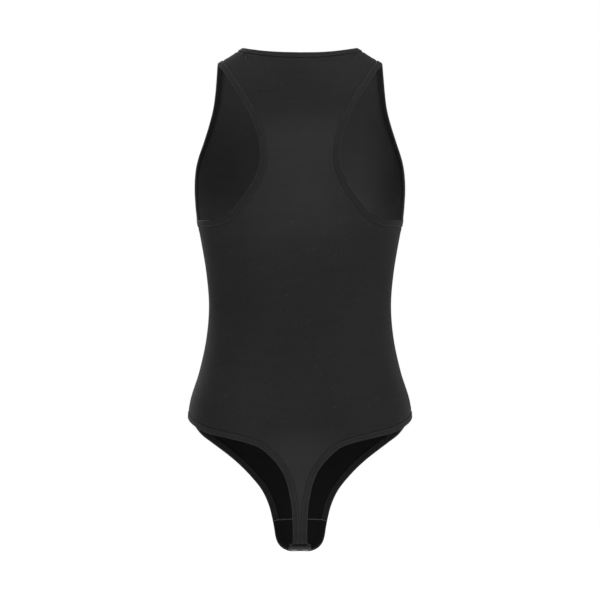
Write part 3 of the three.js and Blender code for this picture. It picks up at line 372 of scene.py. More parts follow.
class Half:
    """The front or the back of the torso."""

    def __init__(
        self,
        sign: float,
        turn: Array,
        depth: Curve,
        square: Curve,
        reach: float,
        creases: tuple[Crease, ...],
    ) -> None:
        """Sets up one half.

        Args:
            sign: -1 for the front and 1 for the back.
            turn: The middle line below the seat or belly: length along the cloth, y and z.
            depth: The middle's distance from the side seams, by height.
            square: How square the section is, by height.
            reach: How far down from its ridge the shoulder rounds over.
            creases: The pulls in the cloth.
        """
        self.sign, self.depth, self.square = sign, depth, square
        self.reach, self.creases = reach, creases
        self.join = turn[0, 0]
        self.turn_y = Curve(turn[::-1, [0, 1]])
        self.turn_z = Curve(turn[::-1, [0, 2]])

    @staticmethod
    def ridge(x: Array | float) -> Array:
        """The height of the shoulder's ridge, which is rounded at the middle of the neck."""
        spare = math.hypot(NECK_X, S.ridge_round) - NECK_X
        return S.neck_point + (NECK_X + spare - np.hypot(x, S.ridge_round)) * RIDGE_SLOPE

    def level(self, along: Array) -> Array:
        """The height of the middle line at a length along it."""
        return np.where(along >= self.join, along, self.turn_z(along))

    def turn_of(self, angle: Array, along: Array) -> Array:
        """The turn of a place given by its length along the cloth.

        Below the ridge by d it is the angle whose cosine is 1 - d / reach, and from a quarter
        turn on it grows as d / reach.
        """
        x = HALF_WIDTH(self.level(along)) * np.sin(angle)
        below = (self.ridge(x) - along) / self.reach
        over = np.arccos(np.clip(1 - below, -1, 1))
        return np.where(below < 1, over, SIDE + below - 1)

    def along_of(self, angle: Array, turn: Array) -> Array:
        """The length along the cloth at a turn, found by nearing it from the ridge."""
        drop = self.reach * np.where(turn < SIDE, 1 - np.cos(turn), 1 + turn - SIDE)
        along = self.ridge(TIP_X * np.sin(angle)) - drop
        for _ in range(9):
            along = self.ridge(HALF_WIDTH(self.level(along)) * np.sin(angle)) - drop
        return along

    def point(self, places: Array) -> Array:
        """The torso's points at places.

        x = half width * sin(angle), y = depth * cos(angle) * (1 + square * sin(angle)^2) *
        sin(turn), and z is the height of the middle line there.
        """
        angle, turn = places[..., 0], places[..., 1]
        along = self.along_of(angle, turn)
        z = self.level(along)
        y = np.where(along >= self.join, self.sign * self.depth(along), self.turn_y(along))
        y = y * np.cos(angle) * (1 + self.square(z) * np.sin(angle) ** 2)
        y = y * np.sin(np.minimum(turn, SIDE)) + self.sign * S.seam_gap / 2
        return np.stack([HALF_WIDTH(z) * np.sin(angle), y, z], -1)

    def slopes(self, places: Array) -> tuple[Array, Array]:
        """How a point moves for each of a place's two numbers."""
        d = 1e-4
        turned, dropped = np.array([d, 0.0]), np.array([0.0, d])
        across = (self.point(places + turned) - self.point(places - turned)) / (2 * d)
        down = (self.point(places + dropped) - self.point(places - dropped)) / (2 * d)
        return across, down

    def normal(self, places: Array) -> Array:
        """The outward normals."""
        across, down = self.slopes(places)
        return unit(np.cross(across, down)) * self.sign

    def relief(self, points: Array, places: Array) -> Array:
        """How far the worn cloth stands out: slow waves and the pulls, none at the seams."""
        x, z = points[..., 0], points[..., 2]
        waves = 0.3 * np.sin(x / 27 + 0.6 * np.sin(z / 61) + 0.8) * np.sin(z / 43 + 1.1)
        waves += 0.18 * np.sin(x / 15 - z / 21 + 2 * np.sin(z / 80))
        pulls = sum(c.relief(x, z) for c in self.creases)
        free = ease(0, 0.35, np.cos(places[..., 0])) * ease(0.0, 0.9, places[..., 1])
        strap = ease(-262, -215, z)
        return (waves * strap + pulls) * free

    def surface(self, places: Array, offset: Array | float = 0.0) -> Array:
        """The worn cloth's points, moved out by an offset."""
        points, normal = self.point(places), self.normal(places)
        return points + normal * (self.relief(points, places) + offset)[..., None]

    def moved(self, places: Array, vectors: Array) -> Array:
        """Places moved on the torso by vectors that lie along its surface."""
        across, down = self.slopes(places)
        a, b, c = (across**2).sum(-1), (across * down).sum(-1), (down**2).sum(-1)
        p, q = (across * vectors).sum(-1), (down * vectors).sum(-1)
        det = a * c - b * b
        return places + np.stack([(p * c - q * b) / det, (q * a - p * b) / det], -1)

    def seen(self, x: float, z: float) -> Pair:
        """The angle and the length of a point seen from behind at x and z."""
        return math.asin(min(1.0, x / float(HALF_WIDTH(z)))), z

    def across(self, x: float, along: float) -> Pair:
        """The angle and the length of a half width at a length along the cloth."""
        width = float(HALF_WIDTH(self.level(np.float64(along))))
        return math.asin(min(1.0, x / width)), along

    def on(self, pair: Pair) -> Array:
        """A place from its angle and its length along the cloth."""
        return np.array([pair[0], float(self.turn_of(np.float64(pair[0]), np.float64(pair[1])))])

    def spaced(self, pairs: Sequence[Pair], count: int) -> Array:
        """Evenly spaced places on the smooth line through given ones.

        Args:
            pairs: Angle and length along the cloth of each given place.
            count: How many steps to take.

        Returns:
            count + 1 places.
        """
        given = np.asarray(pairs, float)
        places = np.column_stack([given[:, 0], self.turn_of(given[:, 0], given[:, 1])])
        lengths = run_of(self.point(places))
        share = (1 - np.cos(np.linspace(0, math.pi, 3001))) / 2
        at = share * lengths[-1]
        angle = Curve(np.column_stack([lengths, given[:, 0]]))(at)
        along = Curve(np.column_stack([lengths, given[:, 1]]))(at)
        fine = np.column_stack([angle, self.turn_of(angle, along)])
        run = run_of(self.point(fine))
        even = np.linspace(0, run[-1], count + 1)
        return np.column_stack([np.interp(even, run, fine[:, k]) for k in (0, 1)])

    def inset(self, edge: Array, distance: float, first: Array, last: Array) -> Array:
        """The line a distance inside an edge, with its two ends given."""
        direction = unit(np.gradient(self.point(edge), axis=0))
        inward = unit(np.cross(self.normal(edge), direction))
        places = self.moved(edge, inward * distance * self.sign)
        places[0], places[-1] = first, last
        return places


FRONT_CREASES = (
    Crease(0, 84, 60, 9, 0.44, 8.5, 0.0),
    Crease(-70, 20, 34, 12, 0.4, 9, 0.5),
    Crease(74, 14, 30, 12, 0.44, 9, -0.45),
    Crease(0, -205, 30, 14, 0.4, 8, 0.0),
    Crease(75, 152, 9, 6, 0.32, 5, 0.3),
    Crease(-52, 232, 22, 9, 0.4, 7, -0.5),
    Crease(50, 240, 22, 9, 0.36, 7, 0.5),
)
BACK_CREASES = (
    Crease(47, 291, 15, 8, 0.4, 6.5, 0.12),
    Crease(44, 281, 9, 3, 0.32, 6.0, 0.1),
    Crease(8, 246, 5, 5, 0.32, 7, 1.4),
    Crease(9, 240, 6, 2, 0.32, 5, 0.0),
    Crease(45, 238, 8, 5, 0.36, 5.5, 0.05),
    Crease(-60, 129, 9, 4, 0.4, 6, 0.08),
    Crease(72, -153, 12, 7, 0.44, 8, 0.35),
    Crease(-96, -62, 20, 9, 0.28, 9, 0.45),
    Crease(98, -70, 22, 10, 0.28, 9, -0.5),
    Crease(0, -226, 10, 10, 0.32, 7, 1.57),
)
FRONT = Half(-1, FRONT_TURN, FRONT_DEPTH, FRONT_SQUARE, 0.5 * CHEST_RISE, FRONT_CREASES)
BACK = Half(1, BACK_TURN, BACK_DEPTH, BACK_SQUARE, 0.38 * CHEST_RISE, BACK_CREASES)


# ---- The edges of the openings ----

STRAP_HALF = S.binding_width + S.strap_centre
TAB_HALF = S.tab_width / 2
RACER_HALF = S.racer_width / 2


def front_hem(share: float, level: float) -> Pair:
    """A place on the front leg opening, by shares of the hip's width and of the drop."""
    return FRONT.seen(share * S.hip_width / 2, mix(S.hip, GUSSET_SEAM, level))


def gusset_hem(width: float, length: float) -> Pair:
    """A place on the gusset's edge, by shares of its narrowing and of its length."""
    half_width = mix(TAB_HALF, S.gusset_width / 2, width)
    return FRONT.across(half_width, mix(GUSSET_SEAM, GUSSET_END, length))


def racer(share: float, level: float) -> Pair:
    """A place on the upper back armhole, from the racer's middle out to the shoulder tip."""
    return BACK.seen(mix(RACER_HALF, TIP_X, share), chest(level))


def blade(share: float, level: float) -> Pair:
    """A place on the lower back armhole, from the racer's middle out to the side."""
    return BACK.seen(mix(RACER_HALF, S.underarm_width / 2, share), chest(level))


def seat_hem(share: float, level: float) -> Pair:
    """A place on the back leg opening, from the strap out to the side."""
    return BACK.seen(mix(STRAP_HALF, S.hip_width / 2, share), seat(level))


def strap_hem(extra: float, level: float) -> Pair:
    """A place on the strap's edge, wider than the strap by extra."""
    return BACK.across(STRAP_HALF + extra, seat(level))


def front_neck(share: float, drop: float) -> Pair:
    """A place on the front neckline, by shares of its half width and its drop."""
    return FRONT.seen(share * NECK_X, S.neck_point - drop * S.front_neck_drop)


def back_neck(share: float, drop: float) -> Pair:
    """A place on the back neckline, in the same way."""
    return BACK.seen(share * NECK_X, S.neck_point - drop * S.back_neck_drop)


NECK_FRONT_EDGE = [
    front_neck(*p)
    for p in ((0, 1), (0.3, 0.97), (0.56, 0.85), (0.78, 0.62), (0.92, 0.34), (0.985, 0.12), (1, 0))
]
NECK_BACK_EDGE = [back_neck(*p) for p in ((0, 1), (0.3, 0.93), (0.6, 0.68), (0.85, 0.3), (1, 0))]
ARMHOLE_FRONT_EDGE = [FRONT.seen(TIP_X, TIP_Z)] + [
    (math.radians(degrees), chest(level))
    for degrees, level in (
        (53, 0.915),
        (53.1, 0.81),
        (54.1, 0.711),
        (57.1, 0.607),
        (61.4, 0.502),
        (66, 0.403),
        (70, 0.299),
        (74, 0.194),
        (78.5, 0.095),
        (84, 0.024),
        (90, 0),
    )
]
ARMHOLE_BACK_EDGE = (
    [BACK.seen(TIP_X, TIP_Z)]
    + [racer(*p) for p in ((0.794, 0.929), (0.622, 0.853), (0.423, 0.772), (0.155, 0.621))]
    + [racer(0.01, 0.464)]
    + [blade(*p) for p in ((0.019, 0.351), (0.092, 0.27), (0.2, 0.194), (0.341, 0.118))]
    + [blade(0.505, 0.043), blade(0.67, 0.012), (math.radians(72), chest(0.002))]
    + [(SIDE, S.underarm)]
)
LEG_FRONT_EDGE = (
    [(SIDE, S.hip)]
    + [front_hem(*p) for p in ((0.96, 0.074), (0.88, 0.207), (0.787, 0.298), (0.6, 0.479))]
    + [front_hem(0.45, 0.661), front_hem(0.34, 0.835), gusset_hem(1, 0)]
    + [gusset_hem(*p) for p in ((0.857, 0.153), (0.743, 0.337), (0.669, 0.511), (0.559, 0.654))]
    + [gusset_hem(0.382, 0.787), gusset_hem(0.169, 0.9)]
    + [FRONT.across(TAB_HALF, GUSSET_END + S.edge_ease)]
)
LEG_BACK_EDGE = (
    [(SIDE, S.hip)]
    + [seat_hem(*p) for p in ((0.925, 0.072), (0.807, 0.117), (0.636, 0.15), (0.465, 0.183))]
    + [seat_hem(0.313, 0.2275), seat_hem(0.192, 0.311), seat_hem(0.0995, 0.411)]
    + [strap_hem(*p) for p in ((7.4, 0.51), (4.4, 0.6), (1.8, 0.688), (0.6, 0.794), (0, 0.9))]
    + [BACK.across(STRAP_HALF, STRAP_END + S.edge_ease)]
)


@dataclass(frozen=True)
class Hem:
    """An edge of cloth and the line that its binding reaches in to, as places."""

    half: Half
    edge: Array
    line: Array


def hem(half: Half, pairs: Sequence[Pair], count: int, first: Array, last: Array) -> Hem:
    """An opening's edge, moved in by what its binding wraps.

    Args:
        half: The half that it is cut in.
        pairs: The opening's places.
        count: Steps along it.
        first: The edge's and the line's first places.
        last: Their last places.

    Returns:
        The hem.
    """
    edge = half.inset(half.spaced(pairs, count), S.wrap, first[0], last[0])
    return Hem(half, edge, half.inset(edge, S.held, first[1], last[1]))


def on_ridge(half: Half, x: float) -> Array:
    """The place at the top of the shoulder, at x."""
    z = float(half.ridge(x))
    return np.array([math.asin(x / float(HALF_WIDTH(z))), 0.0])


def ends(half: Half, kind: str) -> Array:
    """The edge's and the line's places where an opening meets a seam or the middle."""
    w, b = S.wrap, S.binding_width
    if kind == "tip":
        return np.array([on_ridge(half, TIP_X - w), on_ridge(half, TIP_X - b)])
    if kind == "neck":
        return np.array([on_ridge(half, NECK_X + w), on_ridge(half, NECK_X + b)])
    level = {"underarm": S.underarm, "hip": S.hip}[kind]
    up = -1 if kind == "underarm" else 1
    return np.array([half.on((SIDE, level + up * w)), half.on((SIDE, level + up * b))])


def middle_ends(half: Half, top: float) -> Array:
    """The same at the middle of a neckline whose edge is at a height."""
    return np.array([half.on((0, top - S.wrap)), half.on((0, top - S.binding_width))])


def low_ends(half: Half, pairs: Sequence[Pair]) -> Array:
    """The same at the low end of a leg opening."""
    angle, along = pairs[-1]
    x = float(HALF_WIDTH(half.level(np.float64(along)))) * math.sin(angle)
    return np.array([half.on(half.across(x - d, along)) for d in (S.wrap, S.binding_width)])


NECK_STEPS, ARMHOLE_STEPS, LEG_STEPS = 60, 130, 250
NECK_HEMS = tuple(
    hem(half, pairs, NECK_STEPS + more, middle_ends(half, pairs[0][1]), ends(half, "neck"))
    for half, pairs, more in ((FRONT, NECK_FRONT_EDGE, 30), (BACK, NECK_BACK_EDGE, 0))
)
ARMHOLE_HEMS = tuple(
    hem(half, pairs, ARMHOLE_STEPS, ends(half, "tip"), ends(half, "underarm"))
    for half, pairs in ((FRONT, ARMHOLE_FRONT_EDGE), (BACK, ARMHOLE_BACK_EDGE))
)
LEG_HEMS = tuple(
    hem(half, pairs, LEG_STEPS, ends(half, "hip"), low_ends(half, pairs))
    for half, pairs in ((FRONT, LEG_FRONT_EDGE), (BACK, LEG_BACK_EDGE))
)


# ---- Meshes ----


@dataclass
class Shell:
    """A mesh being put together from grids of points, in millimetres."""

    points: list[Array] = field(default_factory=list)
    faces: list[Array] = field(default_factory=list)
    corners: list[Array] = field(default_factory=list)
    tags: list[Array] = field(default_factory=list)
    count: int = 0

    def grid(
        self,
        points: Array,
        across: Array | None = None,
        along: Array | None = None,
        tag: Array | float = 0.0,
        flip: bool = False,
        closed: bool = False,
        ring: bool = False,
    ) -> Array:
        """Adds a surface of four-sided faces.

        Args:
            points: Rows of points.
            across: Each point's distance across the cloth, with one more column if closed.
            along: Its distance along the cloth, in the same way.
            tag: Each point's value for the material: wear where it is positive, and painted light
                where it is negative.
            flip: Whether the faces turn the other way.
            closed: Whether each row joins its last point to its first.
            ring: Whether the last row joins the first.

        Returns:
            The numbers of its vertices, as rows.
        """
        rows, columns = points.shape[:2]
        index = np.arange(rows * columns).reshape(rows, columns) + self.count
        self.count += rows * columns
        self.points.append(points.reshape(-1, 3))
        self.tags.append(np.broadcast_to(tag, (rows, columns)).reshape(-1).astype(float))
        full = np.concatenate([index, index[:, :1]], 1) if closed else index
        full = np.concatenate([full, full[:1]], 0) if ring else full
        if across is None:
            across, along = np.meshgrid(np.arange(full.shape[1]), np.arange(full.shape[0]))
        uv = np.stack([across, along], -1).astype(float)
        self.quads(full, uv, flip)
        return index

    def quads(self, index: Array, uv: Array, flip: bool) -> None:
        """Adds the faces between rows of vertex numbers."""
        order = (0, 3, 2, 1) if flip else (0, 1, 2, 3)
        ring = [(slice(0, -1), slice(0, -1)), (slice(0, -1), slice(1, None))]
        ring += [(slice(1, None), slice(1, None)), (slice(1, None), slice(0, -1))]
        self.faces.append(np.stack([index[ring[k]].ravel() for k in order], 1))
        self.corners.append(np.stack([uv[ring[k]].reshape(-1, 2) for k in order], 1))

    def strip(self, one: Array, other: Array, flip: bool) -> None:
        """Adds faces between two lines of vertex numbers."""
        index = np.stack([one, other])
        run = np.arange(len(one)) * 0.5
        uv = np.stack([np.stack([run, run * 0], -1), np.stack([run, run * 0 + 1], -1)])
        self.quads(index, uv, flip)

    def cap(self, line: Array, flip: bool) -> None:
        """Closes a ring of vertex numbers by folding it flat: each is joined to its opposite."""
        half = len(line) // 2
        self.strip(line[:half], line[::-1][:half], flip)

    def tube(self, rings: Array, across: Array, along: Array, tag: Array | float = 0.0) -> None:
        """Adds a closed tube from its rings of points, with both ends folded shut."""
        index = self.grid(rings, across, along, tag, closed=True)
        self.cap(index[0], True)
        self.cap(index[-1], False)

    def mesh(self, name: str) -> bpy.types.Object:
        """Makes the object, with its faces outward, a UV map in metres and the tag."""
        points = np.concatenate(self.points)
        faces, corners = np.concatenate(self.faces), np.concatenate(self.corners)
        a, b, c, d = (points[faces[:, k]] for k in range(4))
        volume = (a * np.cross(b, c)).sum() + (a * np.cross(c, d)).sum()
        if volume < 0:
            faces, corners = faces[:, ::-1], corners[:, ::-1]
        data = bpy.data.meshes.new(name)
        data.from_pydata((points * MM).tolist(), [], faces.tolist())
        uv = data.uv_layers.new(name="cloth")
        uv.uv.foreach_set("vector", (corners * MM).astype(np.float32).ravel())
        tag = data.attributes.new("tag", "FLOAT", "POINT")
        tag.data.foreach_set("value", np.concatenate(self.tags).astype(np.float32))
        data.polygons.foreach_set("use_smooth", np.ones(len(faces), bool))
        data.validate(clean_customdata=False)
        piece = bpy.data.objects.new(name, data)
        bpy.context.scene.collection.objects.link(piece)
        return piece


def sheet_of(
    shell: Shell,
    outer: Array,
    inner: Array,
    across: Array,
    along: Array,
    outer_tag: Array | float = 0.0,
    inner_tag: Array | float = 0.0,
) -> None:
    """Adds a closed sheet between two grids of points, with its rim.

    Args:
        shell: What it is added to.
        outer: Rows of points of one face.
        inner: The same of the other face.
        across: Distances across the cloth.
        along: Distances along it.
        outer_tag: The outer face's values for its material.
        inner_tag: The inner face's.
    """
    top = shell.grid(outer, across, along, outer_tag)
    under = shell.grid(inner, across, along, inner_tag, flip=True)
    for line, below, flip in (
        (top[0], under[0], True),
        (top[-1], under[-1], False),
        (top[:, 0], under[:, 0], False),
        (top[:, -1], under[:, -1], True),
    ):
        shell.strip(line, below, flip)


def nearest(points: Array, line: Array) -> tuple[Array, Array]:
    """The distance from each point to a line of points, and how far along the line it is."""
    flat = points.reshape(-1, 3)
    run = run_of(line)
    far = np.empty(len(flat))
    where = np.empty(len(flat))
    for start in range(0, len(flat), 4000):
        part = flat[start : start + 4000]
        gap = np.linalg.norm(part[:, None] - line[None], axis=2)
        best = gap.argmin(1)
        far[start : start + 4000] = gap[np.arange(len(part)), best]
        where[start : start + 4000] = run[best]
    return far.reshape(points.shape[:-1]), where.reshape(points.shape[:-1])


def squared(wave: Array, power: float) -> Array:
    """A sine or cosine drawn out towards a square's: sign(wave) * |wave|^power."""
    return np.sign(wave) * np.abs(wave) ** power


@dataclass(frozen=True)
class Ridge:
    """A ridge, or a groove if its height is negative, at a distance from a seam."""

    height: float
    distance: float
    width: float

    def __call__(self, far: Array) -> Array:
        """How far the cloth stands out at distances from the seam: a bell round its own."""
        return self.height * bell(far - self.distance, self.width)


HEM_RIDGE, HEM_GROOVE = Ridge(0.34, 11.5, 2.6), Ridge(-0.38, 8.3, 1.1)
HEM_PUCKER, LEG_PUCKER = Ridge(0.1, 9.5, 2.2), Ridge(1.0, 12.5, 3.6)
SEAM_RIDGE, SEAM_GROOVE = Ridge(0.12, 3.0, 1.5), Ridge(-0.25, 0.0, 1.0)
CENTRE_GROOVE = Ridge(-0.3, 0.0, 1.1)
CUP_GROOVE = Ridge(-0.2, 0.0, 1.2)


def pucker(run: Array, seed: float) -> Array:
    """An uneven ripple from -1 to 1 along a seam: three waves whose lengths don't divide."""
    return (
        0.5 * np.sin(run / 1.31 + seed)
        + 0.3 * np.sin(run / 2.17 + 2.3 * seed)
        + 0.2 * np.sin(run / 3.83 + 1.7 * seed)
    )


# ---- Bindings, elastics and threads ----


@dataclass(frozen=True)
class Path:
    """The stations along a bound edge: points and normals of the edge and of its inner line."""

    edge: Array
    line: Array
    edge_normal: Array
    line_normal: Array
    ring: bool

    def at(self, out: Array, up: Array) -> Array:
        """The points out past the edge and up from the cloth's middle, at each station.

        Args:
            out: Millimetres, by station and by point of the section.
            up: The same.

        Returns:
            A row of points for each station.
        """
        across = self.edge - self.line
        width = np.linalg.norm(across, axis=1, keepdims=True)
        share = 1 + out / width
        blend = np.clip(share, 0, 1)[..., None]
        normal = unit(mix(self.line_normal[:, None], self.edge_normal[:, None], blend))
        return self.line[:, None] + across[:, None] * share[..., None] + normal * up[..., None]

    def arrays(self) -> tuple[Array, Array, Array, Array]:
        """The four arrays."""
        return self.edge, self.line, self.edge_normal, self.line_normal

    @property
    def run(self) -> Array:
        """The length along it."""
        return run_of(self.edge)


def path_of(runs: Sequence[Hem], ring: bool, side: float) -> Path:
    """Joins two hems that start at the same seam, where each pair of ends becomes one station.

    Args:
        runs: The hem that is followed backwards to the seam, and the one that leads on from it.
        ring: Whether their other ends meet too.
        side: 1 for the wearer's left and -1 for the right.

    Returns:
        The path.
    """
    turned = np.array([side, 1.0])
    parts = []
    for one in runs:
        edge, line = one.edge * turned, one.line * turned
        half = one.half
        parts.append((half.surface(edge), half.surface(line), half.normal(edge), half.normal(line)))
    arrays = []
    for k in range(4):
        first, second = parts[0][k][::-1], parts[1][k]
        joint = (first[-1:] + second[:1]) / 2
        whole = np.concatenate([first[:-1], joint, second[1:]])
        if ring:
            whole = np.concatenate([(whole[:1] + whole[-1:]) / 2, whole[1:-1]])
        arrays.append(unit(whole) if k > 1 else whole)
    return Path(*arrays, ring)


def neck_path() -> Path:
    """The neckline, from the middle of the front round the left side and back up the right."""
    hems = [Hem(h.half, h.edge[::-1], h.line[::-1]) for h in NECK_HEMS]
    left, right = (path_of(hems, False, side) for side in (1, -1))
    arrays = []
    for k, (one, other) in enumerate(zip(left.arrays(), right.arrays())):
        whole = np.concatenate([one, other[::-1][1:-1]])
        arrays.append(unit(whole) if k > 1 else whole)
    return Path(*arrays, True)


SIDES = (("left", 1.0), ("right", -1.0))
NECK_PATH = neck_path()
ARMHOLE_PATHS = {name: path_of(ARMHOLE_HEMS, True, side) for name, side in SIDES}
LEG_PATHS = {name: path_of(LEG_HEMS, False, side) for name, side in SIDES}


BINDING_OUTSIDE, BINDING_INSIDE, BINDING_THICK = 1.12, -2.1, 0.5


def binding_section() -> tuple[Array, Array]:
    """The fold of a binding, as its outer and inner lines of [out, up].

    The tape lies over the cloth, turns round the edge on a half circle and lies under the
    elastic. Both layers are a little fuller between their seam and the fold.
    """
    high, low, thick = BINDING_OUTSIDE, BINDING_INSIDE, BINDING_THICK
    held, out = S.held, S.wrap
    radius = (high - low) / 2
    centre = (high + low) / 2
    flat = np.linspace(-held, out - radius, 16)
    swell = 0.13 * np.sin(math.pi * np.clip((flat + held) / (held + out - radius), 0, 1))
    lip = 0.34 * bell(flat + held, 0.45)
    turn = np.linspace(SIDE, -SIDE, 11)[1:-1]
    over = np.column_stack([flat, high + swell - lip])
    round_it = np.column_stack([out - radius + radius * np.cos(turn), centre + radius * np.sin(turn)])
    under = np.column_stack([flat[::-1], low - (swell - lip)[::-1]])
    outer = np.concatenate([over, round_it, under])
    direction = unit(np.gradient(outer, axis=0))
    inward = np.column_stack([direction[:, 1], -direction[:, 0]])
    inner = outer + inward * thick
    inner[:, 0] = np.clip(inner[:, 0], -held - 0.02, out - thick)
    return outer, inner


def swept(
    path: Path, out: Array, up: Array, name: str, tag: Array | float = 0.0
) -> bpy.types.Object:
    """A closed solid whose section follows a path.

    Args:
        path: The stations.
        out: The section's distance past the edge, for each station and each of its points.
        up: Its height over the cloth's middle.
        name: The object's name.
        tag: The section's values for the material.

    Returns:
        The object.
    """
    stations = len(path.edge)
    out, up = (np.broadcast_to(a, (stations, np.shape(a)[-1])) for a in (out, up))
    points = path.at(out, up)
    shell = Shell()
    girth = run_of(np.column_stack([out[0], up[0], 0 * out[0]]))
    girth = np.append(girth, girth[-1] + 1)
    run = path.run
    run = np.append(run, run[-1] + (run[-1] - run[-2])) if path.ring else run
    across, along = np.meshgrid(girth, run)
    if path.ring:
        shell.grid(points, across, along, tag, closed=True, ring=True)
    else:
        shell.tube(points, across, along, tag)
    return shell.mesh(name)


@dataclass(frozen=True)
class Seam:
    """A row of stitches along a path."""

    out: float
    up: float
    pitch: float = 2.6
    thick: float = 0.17
    rise: float = 0.2
    sway: float = 0.0


def thread(path: Path, seam: Seam, name: str) -> bpy.types.Object:
    """A sewn thread: a tube whose middle dips into the cloth between stitches.

    Its height is up + rise * |cos(pi * run / pitch)| - rise / 2, and it sways to the two sides by
    a triangle wave of twice the pitch.

    Args:
        path: The stations of the bound edge.
        seam: Where the row runs and how it is sewn.
        name: The object's name.

    Returns:
        The object.
    """
    run = path.run
    total = run[-1] + (np.linalg.norm(path.edge[0] - path.edge[-1]) if path.ring else 0)
    stitches = max(2, int(total / seam.pitch) // 2 * 2)
    count = stitches * 6
    fine = np.linspace(0, total, count, endpoint=not path.ring)
    arrays = []
    for k, a in enumerate(path.arrays()):
        whole = np.concatenate([a, a[:1]]) if path.ring else a
        at = np.append(run, total) if path.ring else run
        eased = np.column_stack([np.interp(fine, at, whole[:, i]) for i in range(3)])
        arrays.append(unit(eased) if k > 1 else eased)
    smooth = Path(*arrays, path.ring)
    phase = np.arange(count) / 6
    lift = seam.rise * np.abs(np.cos(math.pi * phase)) - seam.rise / 2
    side = seam.sway * (1 - 2 * np.abs((phase / 2) % 1 * 2 - 1))
    turns = np.linspace(0, 2 * math.pi, 6, endpoint=False)
    sign = 1 if seam.up > 0 else -1
    out = seam.out + side[:, None] + seam.thick * np.cos(turns)
    up = seam.up + sign * lift[:, None] + seam.thick * np.sin(turns)
    return swept(smooth, out, up, name)


# ---- Finishes ----


class Slot(Enum):
    """The record's material slots."""

    JERSEY = "jersey"
    BINDING = "binding"
    LINING = "lining"
    ELASTIC = "elastic"
    THREAD = "thread"
    LABEL = "label"
    SNAP = "snap"


class Graph:
    """Adds shader nodes to a tree and joins them up."""

    def __init__(self, tree: bpy.types.NodeTree) -> None:
        """Args: tree: the material's or group's node tree."""
        self.tree = tree

    def add(self, kind: str, inputs: dict | None = None, **settings: object) -> bpy.types.Node:
        """Adds a node.

        Args:
            kind: Its type.
            inputs: What goes into its sockets, by name or number.
            settings: Its other properties.

        Returns:
            The node.
        """
        node = self.tree.nodes.new(kind)
        for name, value in settings.items():
            setattr(node, name, value)
        for key, value in (inputs or {}).items():
            self.put(node.inputs[key], value)
        return node

    def put(self, socket: bpy.types.NodeSocket, value: object) -> None:
        """Feeds a socket with another socket or with a plain value."""
        if isinstance(value, bpy.types.NodeSocket):
            self.tree.links.new(value, socket)
        else:
            socket.default_value = value

    def math(self, operation: str, *values: object) -> bpy.types.NodeSocket:
        """The result of a Math node."""
        node = self.add("ShaderNodeMath", dict(enumerate(values)), operation=operation)
        return node.outputs[0]

    def noise(self, vector: object, scale: float, detail: float = 2.0) -> bpy.types.NodeSocket:
        """The value of a noise texture."""
        inputs = {"Vector": vector, "Scale": scale, "Detail": detail, "Roughness": 0.55}
        return self.add("ShaderNodeTexNoise", inputs).outputs[0]

    def ramp(
        self, value: object, low: float, high: float, start: float = 0.0, end: float = 1.0
    ) -> bpy.types.NodeSocket:
        """The value moved from one range to another, and kept inside it."""
        keys = ("Value", "From Min", "From Max", "To Min", "To Max")
        inputs = dict(zip(keys, (value, low, high, start, end)))
        return self.add("ShaderNodeMapRange", inputs).outputs[0]

    def blend(self, share: object, one: object, other: object) -> bpy.types.NodeSocket:
        """A colour between two."""
        node = self.add("ShaderNodeMix", data_type="RGBA")
        for socket, value in ((0, share), (6, one), (7, other)):
            self.put(node.inputs[socket], value)
        return node.outputs[2]


Socket = tuple[str, str]


def group(
    name: str,
    sockets: Sequence[Socket],
    results: Sequence[Socket],
    build: Callable[[Graph, bpy.types.Node], dict],
) -> bpy.types.NodeTree:
    """Makes a shader node group.

    Args:
        name: Its name.
        sockets: Each input's name and type.
        results: Each output's name and type.
        build: Adds the nodes and gives the socket behind each output.

    Returns:
        The group.
    """
    tree = bpy.data.node_groups.new(name, "ShaderNodeTree")
    for label, kind in sockets:
        tree.interface.new_socket(label, in_out="INPUT", socket_type="NodeSocket" + kind)
    for label, kind in results:
        tree.interface.new_socket(label, in_out="OUTPUT", socket_type="NodeSocket" + kind)
    graph = Graph(tree)
    given = graph.add("NodeGroupInput")
    shown = graph.add("NodeGroupOutput")
    for label, socket in build(graph, given).items():
        graph.put(shown.inputs[label], socket)
    return tree


def knit_nodes(g: Graph, given: bpy.types.Node) -> dict:
    """Wales and courses: in each wale two legs of yarn lean to the middle, course upon course."""
    parts = g.add("ShaderNodeSeparateXYZ", {0: given.outputs["Vector"]}).outputs
    wale = g.math("FRACT", g.math("MULTIPLY", parts[0], given.outputs["Wales"]))
    leg = g.math("ABSOLUTE", g.math("MULTIPLY_ADD", wale, 2.0, -1.0))
    course = g.math("MULTIPLY", parts[1], given.outputs["Courses"])
    slant = g.math("MULTIPLY_ADD", leg, given.outputs["Slant"], course)
    loop = g.math("MULTIPLY_ADD", g.math("SINE", g.math("MULTIPLY", slant, 2 * math.pi)), 0.5, 0.5)
    rib = g.math("SUBTRACT", 1.0, g.math("POWER", leg, 4.0))
    split = g.math("MULTIPLY_ADD", g.math("LESS_THAN", leg, 0.12), -0.35, 1.0)
    height = g.math("MULTIPLY", g.math("MULTIPLY", rib, g.math("MULTIPLY_ADD", loop, 0.4, 0.6)), split)
    return {"Height": height, "Gaps": g.math("SUBTRACT", 1.0, height)}


